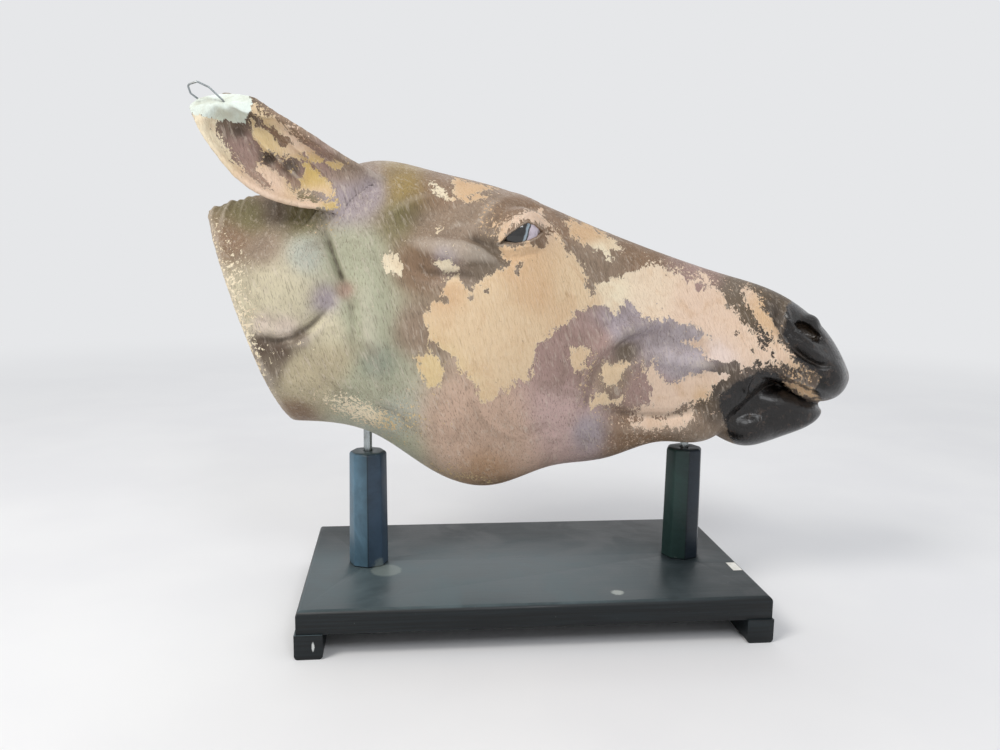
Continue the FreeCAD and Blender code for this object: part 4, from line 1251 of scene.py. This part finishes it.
def bare_wood():
    """Sawn softwood left bare inside the head: warm streaks along the grain."""
    material, tree, shader = finish_of("softwood_sawn")
    where = place(tree)
    # Growth rings of 6 mm cut along the block: give long warm streaks. Wood fibres are 0.05 mm
    # thick, and these 1.1 mm, or they wouldn't show.
    rings = noise(tree, stretched(tree, where, (55.56, 5.882, 5.882)), 1.0, 3.0, 0.5, 1.5)
    fibre = noise(tree, stretched(tree, where, (16.67, 1.111, 1.111)), 1.0, 2.0, 0.5)
    colour = blend(tree, share_of(tree, rings, 0.35, 0.65), rgb("c9a273"), rgb("9b7447"))
    colour = blend(tree, share_of(tree, fibre, 0.55, 0.75, 0.0, 0.3), colour, rgb("6d4d2c"))
    tree.links.new(colour, shader.inputs["Base Color"])
    tree.links.new(bump(tree, fibre, 0.3, 0.6 * MM), shader.inputs["Normal"])
    shader.inputs["Roughness"].default_value = 0.75
    return material


def scrim_cloth():
    """Open hemp scrim soaked in plaster: off-white threads crossing every 2 mm."""
    material, tree, shader = finish_of("hemp_scrim_in_plaster")
    where = place(tree)
    # Crossing threads: give the seams a coarse weave under a skin of plaster.
    # One band of a wave is pi / 10 of its space wide.
    thread_mm = 1.963
    threads = []
    for axis in ("X", "Z"):
        made = add(tree, "TexWave", {"Vector": where, "Scale": math.pi / 10 / (thread_mm * MM),
                                     "Distortion": 1.2, "Detail": 2.0}, bands_direction=axis)
        threads.append(made.outputs["Fac"])
    weave = add(tree, "Math", {0: threads[0], 1: threads[1]}, operation="MAXIMUM").outputs[0]
    colour = blend(tree, share_of(tree, weave, 0.3, 0.9), rgb("b9ad93"), rgb("e0d8c4"))
    tree.links.new(colour, shader.inputs["Base Color"])
    tree.links.new(bump(tree, weave, 0.6, 1.2 * MM), shader.inputs["Normal"])
    shader.inputs["Roughness"].default_value = 0.9
    return material


def steel(name, base, rough, streaks):
    """Plain steel with fine marks of its making and a little tarnish."""
    material, tree, shader = finish_of(name)
    where = place(tree)
    # Drawing marks along the piece: give a soft, streaked grey shine. Real ones are under
    # 0.1 mm wide, and these 2 to 3 mm, or they wouldn't show.
    marks = noise(tree, stretched(tree, where, streaks), 1.0, 3.0, 0.6)
    tarnish = noise(tree, where, 11.11, 4.0, 0.6)
    colour = blend(tree, share_of(tree, tarnish, 0.45, 0.75, 0.0, 0.7), base, rgb("6b6258"))
    tree.links.new(colour, shader.inputs["Base Color"])
    shine = share_of(tree, marks, 0.3, 0.7, rough - 0.1, rough + 0.12)
    tree.links.new(shine, shader.inputs["Roughness"])
    tree.links.new(bump(tree, marks, 0.12, 0.3 * MM), shader.inputs["Normal"])
    shader.inputs["Metallic"].default_value = 1.0
    return material


def paper_sticker():
    """Blank paper label: warm white, with a faint tooth and patches of grime."""
    material, tree, shader = finish_of("paper_pressed_blank")
    where = place(tree)
    # Paper fibres and grime: keep the little white square from looking like plastic. Real
    # fibres are 0.02 mm thick, and these 0.7 mm, or they wouldn't show.
    fibre = noise(tree, where, 0.7143, 3.0, 0.6)
    grime = noise(tree, where, 6.25, 3.0, 0.6)
    paper = bpy.context.scene.horse_head_stand.sticker_colour
    colour = blend(tree, share_of(tree, grime, 0.45, 0.75, 0.0, 0.5), paper, rgb("c3bfb0"))
    tree.links.new(colour, shader.inputs["Base Color"])
    tree.links.new(bump(tree, fibre, 0.2, 0.2 * MM), shader.inputs["Normal"])
    shader.inputs["Roughness"].default_value = 0.8
    return material


def looked_at(tree):
    """1 for what the camera sees, straight, by reflection or through glass."""
    path = add(tree, "LightPath").outputs
    return sum_of(tree, (path["Is Camera Ray"], 1.0), (path["Is Glossy Ray"], 1.0),
                  (path["Is Transmission Ray"], 1.0))


def pale_floor():
    """Pale matt floor that fades into the backdrop with distance."""
    settings = bpy.context.scene.horse_head_stage
    material, tree, shader = finish_of("floor_matt_pale")
    output = next(n for n in tree.nodes if n.bl_idname == "ShaderNodeOutputMaterial")
    where = place(tree)
    # Faint cloudiness: keeps the floor from looking like a flat card.
    cloud = noise(tree, where, 333.3, 3.0, 0.5)
    colour = blend(tree, share_of(tree, cloud, 0.3, 0.7), settings.floor_colour, rgb("ebebec"))
    tree.links.new(colour, shader.inputs["Base Color"])
    shader.inputs["Roughness"].default_value = 0.85
    shader.inputs["Specular IOR Level"].default_value = 0.2
    # Fades to the backdrop: no horizon line crosses the picture.
    away = add(tree, "VectorMath", {0: where}, operation="LENGTH").outputs["Value"]
    far = share_of(tree, away, 0.9, 3.2)
    glow = add(tree, "Emission", {"Color": settings.backdrop_colour, "Strength": 1.0})
    seen = times(tree, far, looked_at(tree))
    shown = add(tree, "MixShader", {0: seen, 1: shader.outputs[0], 2: glow.outputs[0]})
    tree.links.new(shown.outputs[0], output.inputs["Surface"])
    return material


def dress(name, material):
    """Gives a CAD node one material."""
    thing = NODES[name]
    for slot in range(len(thing.data.materials)):
        thing.data.materials[slot] = material
    if not thing.data.materials:
        thing.data.materials.append(material)


def eased(names, width):
    """A copy of some CAD nodes with their sharp edges eased."""
    mesh = copy_of(names)
    bmesh.ops.dissolve_limit(mesh, angle_limit=math.radians(1), verts=mesh.verts, edges=mesh.edges)
    sharp = [e for e in mesh.edges
             if len(e.link_faces) == 2 and e.calc_face_angle(0) > math.radians(25)]
    bmesh.ops.bevel(mesh, geom=sharp, offset=width, offset_type="OFFSET", affect="EDGES",
                    segments=2, profile=0.5, material=-1, clamp_overlap=True)
    return mesh


def colour_setting(name, description, code):
    """A colour that a user may change."""
    return FloatVectorProperty(name=name, description=description, default=rgb(code), size=4,
                               min=0.0, max=1.0, subtype="COLOR")


class HeadSettings(bpy.types.PropertyGroup):
    """Sizes and colours of the casting"""

    skin_grid: FloatProperty(name="Skin grid", description="Spacing of the modelled skin",
                             default=0.0029, unit="LENGTH")
    lid_thickness: FloatProperty(name="Lid thickness", default=0.0022, unit="LENGTH",
                                 description="How far the eyelids stand over the eyeball")
    muzzle_colour: colour_setting("Muzzle", "Varnished black of the nostrils and lips", "100c0a")
    # Colour of the painted shade in the creases.
    crease_shade_colour: colour_setting("Crease shade", "Painted shade in the creases", "3a2d20")
    plaster_colour: colour_setting("Raw plaster", "Bare plaster of the hollow and the broken ear",
                                   "e8f2ea")
    iris_colour: colour_setting("Iris", "Dark part of the painted eye", "0e0d0b")
    wire_colour: colour_setting("Wire", "Steel wire in the ears", "9aa0a2")


class StandSettings(bpy.types.PropertyGroup):
    """Sizes and colours of the stand"""

    edge_rounding: FloatProperty(name="Edge rounding", description="Rounding of the wooden edges",
                                 default=0.0012, unit="LENGTH")
    wood_colour: colour_setting("Black paint", "Paint of the board, runners and posts", "0b0f11")
    # Colour of the dust and the painted sheen on the board's top.
    dust_and_sheen_colour: colour_setting("Dust and sheen", "Bloom of dust and painted sheen on the board", "5d6c70")
    rod_colour: colour_setting("Rods", "Drawn steel of the two rods", "a3aaab")
    sticker_colour: colour_setting("Sticker", "Blank paper sticker", "ecebe4")


class StageSettings(bpy.types.PropertyGroup):
    """Colours of the studio"""

    backdrop_colour: colour_setting("Backdrop", "Colour behind the object", "e6e7e9")
    floor_colour: colour_setting("Floor", "Colour of the pale floor", "f0f0f0")


class HORSEHEAD_OT_plaster_head(bpy.types.Operator):
    """Make the two halves of the plaster casting"""

    bl_idname = "horsehead.plaster_head"
    bl_label = "Plaster head"

    def execute(self, context):
        things = make_head(context.scene.horse_head)
        for name, thing in things.items():
            part, side = name.split("_")[1:]
            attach(thing, "head")
            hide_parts(("head_shell_" if part == "head" else "ear_") + side)
        return {"FINISHED"}


class HORSEHEAD_OT_eyes(bpy.types.Operator):
    """Varnish the two eyeballs"""

    bl_idname = "horsehead.eyes"
    bl_label = "Eyes"

    def execute(self, context):
        finish = glazed_eye()
        for name in ("eye_right", "eye_left"):
            dress(name, finish)
        return {"FINISHED"}


class HORSEHEAD_OT_wires(bpy.types.Operator):
    """Finish the wire that shows in the broken ear, and the other ear's wire"""

    bl_idname = "horsehead.wires"
    bl_label = "Ear wires"

    def execute(self, context):
        colour = context.scene.horse_head.wire_colour
        finish = steel("steel_wire_drawn", colour, 0.38, (3.333, 3.333, 3.333))
        for side in ("right", "left"):
            thing = new_object("bent_wire_" + side, copy_of(("ear_wire_" + side,)))
            even = thing.modifiers.new("even bends", "SUBSURF")
            even.levels = even.render_levels = 1
            thing.data.materials.append(finish)
            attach(thing, "head")
            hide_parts("ear_wire_" + side)
        return {"FINISHED"}


class HORSEHEAD_OT_core(bpy.types.Operator):
    """Finish the blocks, the brace, the sleeves, the bedding and the scrim inside the head"""

    bl_idname = "horsehead.core"
    bl_label = "Core"

    def execute(self, context):
        wood, plaster = bare_wood(), raw_plaster()
        cloth, tube = scrim_cloth(), steel("steel_tube_drawn", rgb("8d9294"), 0.42, (2, 2, 25))
        for name, finish in (("neck_brace", wood), ("socket_block_rear", wood),
                             ("socket_block_front", wood), ("block_bedding_rear", plaster),
                             ("block_bedding_front", plaster),
                             ("seam_scrim_top", cloth), ("seam_scrim_bottom", cloth),
                             ("socket_sleeve_rear", tube), ("socket_sleeve_front", tube)):
            dress(name, finish)
        return {"FINISHED"}


class HORSEHEAD_OT_stand(bpy.types.Operator):
    """Make the black board, its runners and the two posts"""

    bl_idname = "horsehead.stand"
    bl_label = "Stand"

    def execute(self, context):
        finish = black_painted_wood()
        settings = context.scene.horse_head_stand
        for name in ("base_board", "runner_rear", "runner_front", "post_rear", "post_front"):
            mesh = eased((name,), settings.edge_rounding)
            thing = new_object("wooden_" + name, mesh, crease_deg=24)
            thing.data.materials.append(finish)
            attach(thing, "stand")
            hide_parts(name)
        return {"FINISHED"}


class HORSEHEAD_OT_fittings(bpy.types.Operator):
    """Finish the rods, screws, nuts and washers, and the blank sticker"""

    bl_idname = "horsehead.fittings"
    bl_label = "Rods and fittings"

    def execute(self, context):
        colour = context.scene.horse_head_stand.rod_colour
        rod = steel("steel_rod_drawn", colour, 0.30, (2, 2, 83.33))
        small = steel("steel_fastener_zinc_plated", rgb("b3b5b0"), 0.34, (2.5, 2.5, 2.5))
        for name, finish in (("rod_rear", rod), ("rod_front", rod), ("runner_screws", small),
                             ("rod_washers", small), ("rod_nuts", small),
                             ("blank_sticker", paper_sticker())):
            dress(name, finish)
        return {"FINISHED"}


class HORSEHEAD_OT_stage(bpy.types.Operator):
    """Make the floor, the lamps and the camera"""

    bl_idname = "horsehead.stage"
    bl_label = "Stage"

    def execute(self, context):
        mesh = bmesh.new()
        bmesh.ops.create_grid(mesh, x_segments=1, y_segments=1, size=FLOOR_REACH)
        floor = new_object("floor", mesh)
        floor.data.materials.append(pale_floor())
        right, up, forward = camera_axes()
        data = bpy.data.cameras.new("photo_camera")
        data.sensor_width = SENSOR_MM
        data.lens = FOCAL_PX / PHOTO_SIZE[0] * SENSOR_MM
        camera = bpy.data.objects.new("photo_camera", data)
        context.scene.collection.objects.link(camera)
        turn = Matrix((right, up, -forward)).transposed()
        camera.matrix_world = Matrix.Translation(CAMERA_PLACE) @ turn.to_4x4()
        context.scene.camera = camera
        for name, spot, size, power, colour in LAMPS:
            lamp = bpy.data.lights.new(name, "AREA")
            lamp.size = size
            lamp.energy = power
            lamp.color = colour
            thing = bpy.data.objects.new(name, lamp)
            thing.location = spot
            aim = Vector(LAMPS_AIM) - Vector(spot)
            thing.rotation_euler = aim.to_track_quat("-Z", "Y").to_euler()
            context.scene.collection.objects.link(thing)
        world = bpy.data.worlds.new("studio")
        context.scene.world = world
        world.use_nodes = True
        tree = world.node_tree
        tree.nodes.clear()
        soft = add(tree, "Background", {"Color": rgb("f4f6fa"), "Strength": 0.6})
        backdrop = context.scene.horse_head_stage.backdrop_colour
        seen = add(tree, "Background", {"Color": backdrop, "Strength": 1.0})
        shown = add(tree, "MixShader", {0: looked_at(tree), 1: soft.outputs[0], 2: seen.outputs[0]})
        add(tree, "OutputWorld", {"Surface": shown.outputs[0]})
        context.scene.view_settings.view_transform = "Standard"
        return {"FINISHED"}


class HORSEHEAD_PT_panel(bpy.types.Panel):
    """Lists the pieces"""

    bl_label = "Horse head"
    bl_space_type = "VIEW_3D"
    bl_region_type = "UI"
    bl_category = "Horse head"

    def draw(self, context):
        for operator in OPERATORS:
            self.layout.operator(operator.bl_idname)
        for pointer, group in SETTINGS.items():
            for key in group.__annotations__:
                self.layout.prop(getattr(context.scene, pointer), key)


OPERATORS = (HORSEHEAD_OT_plaster_head, HORSEHEAD_OT_eyes, HORSEHEAD_OT_wires, HORSEHEAD_OT_core,
             HORSEHEAD_OT_stand, HORSEHEAD_OT_fittings, HORSEHEAD_OT_stage)
SETTINGS = {"horse_head": HeadSettings, "horse_head_stand": StandSettings,
            "horse_head_stage": StageSettings}
CLASSES = (*SETTINGS.values(), *OPERATORS, HORSEHEAD_PT_panel)


def register():
    for one in CLASSES:
        bpy.utils.register_class(one)
    for pointer, group in SETTINGS.items():
        setattr(bpy.types.Scene, pointer, PointerProperty(type=group))


def unregister():
    for pointer in SETTINGS:
        delattr(bpy.types.Scene, pointer)
    for one in reversed(CLASSES):
        bpy.utils.unregister_class(one)


def main():
    register()
    for operator in OPERATORS:
        group, name = operator.bl_idname.split(".")
        getattr(getattr(bpy.ops, group), name)()


if __name__ == "__main__":
    main()
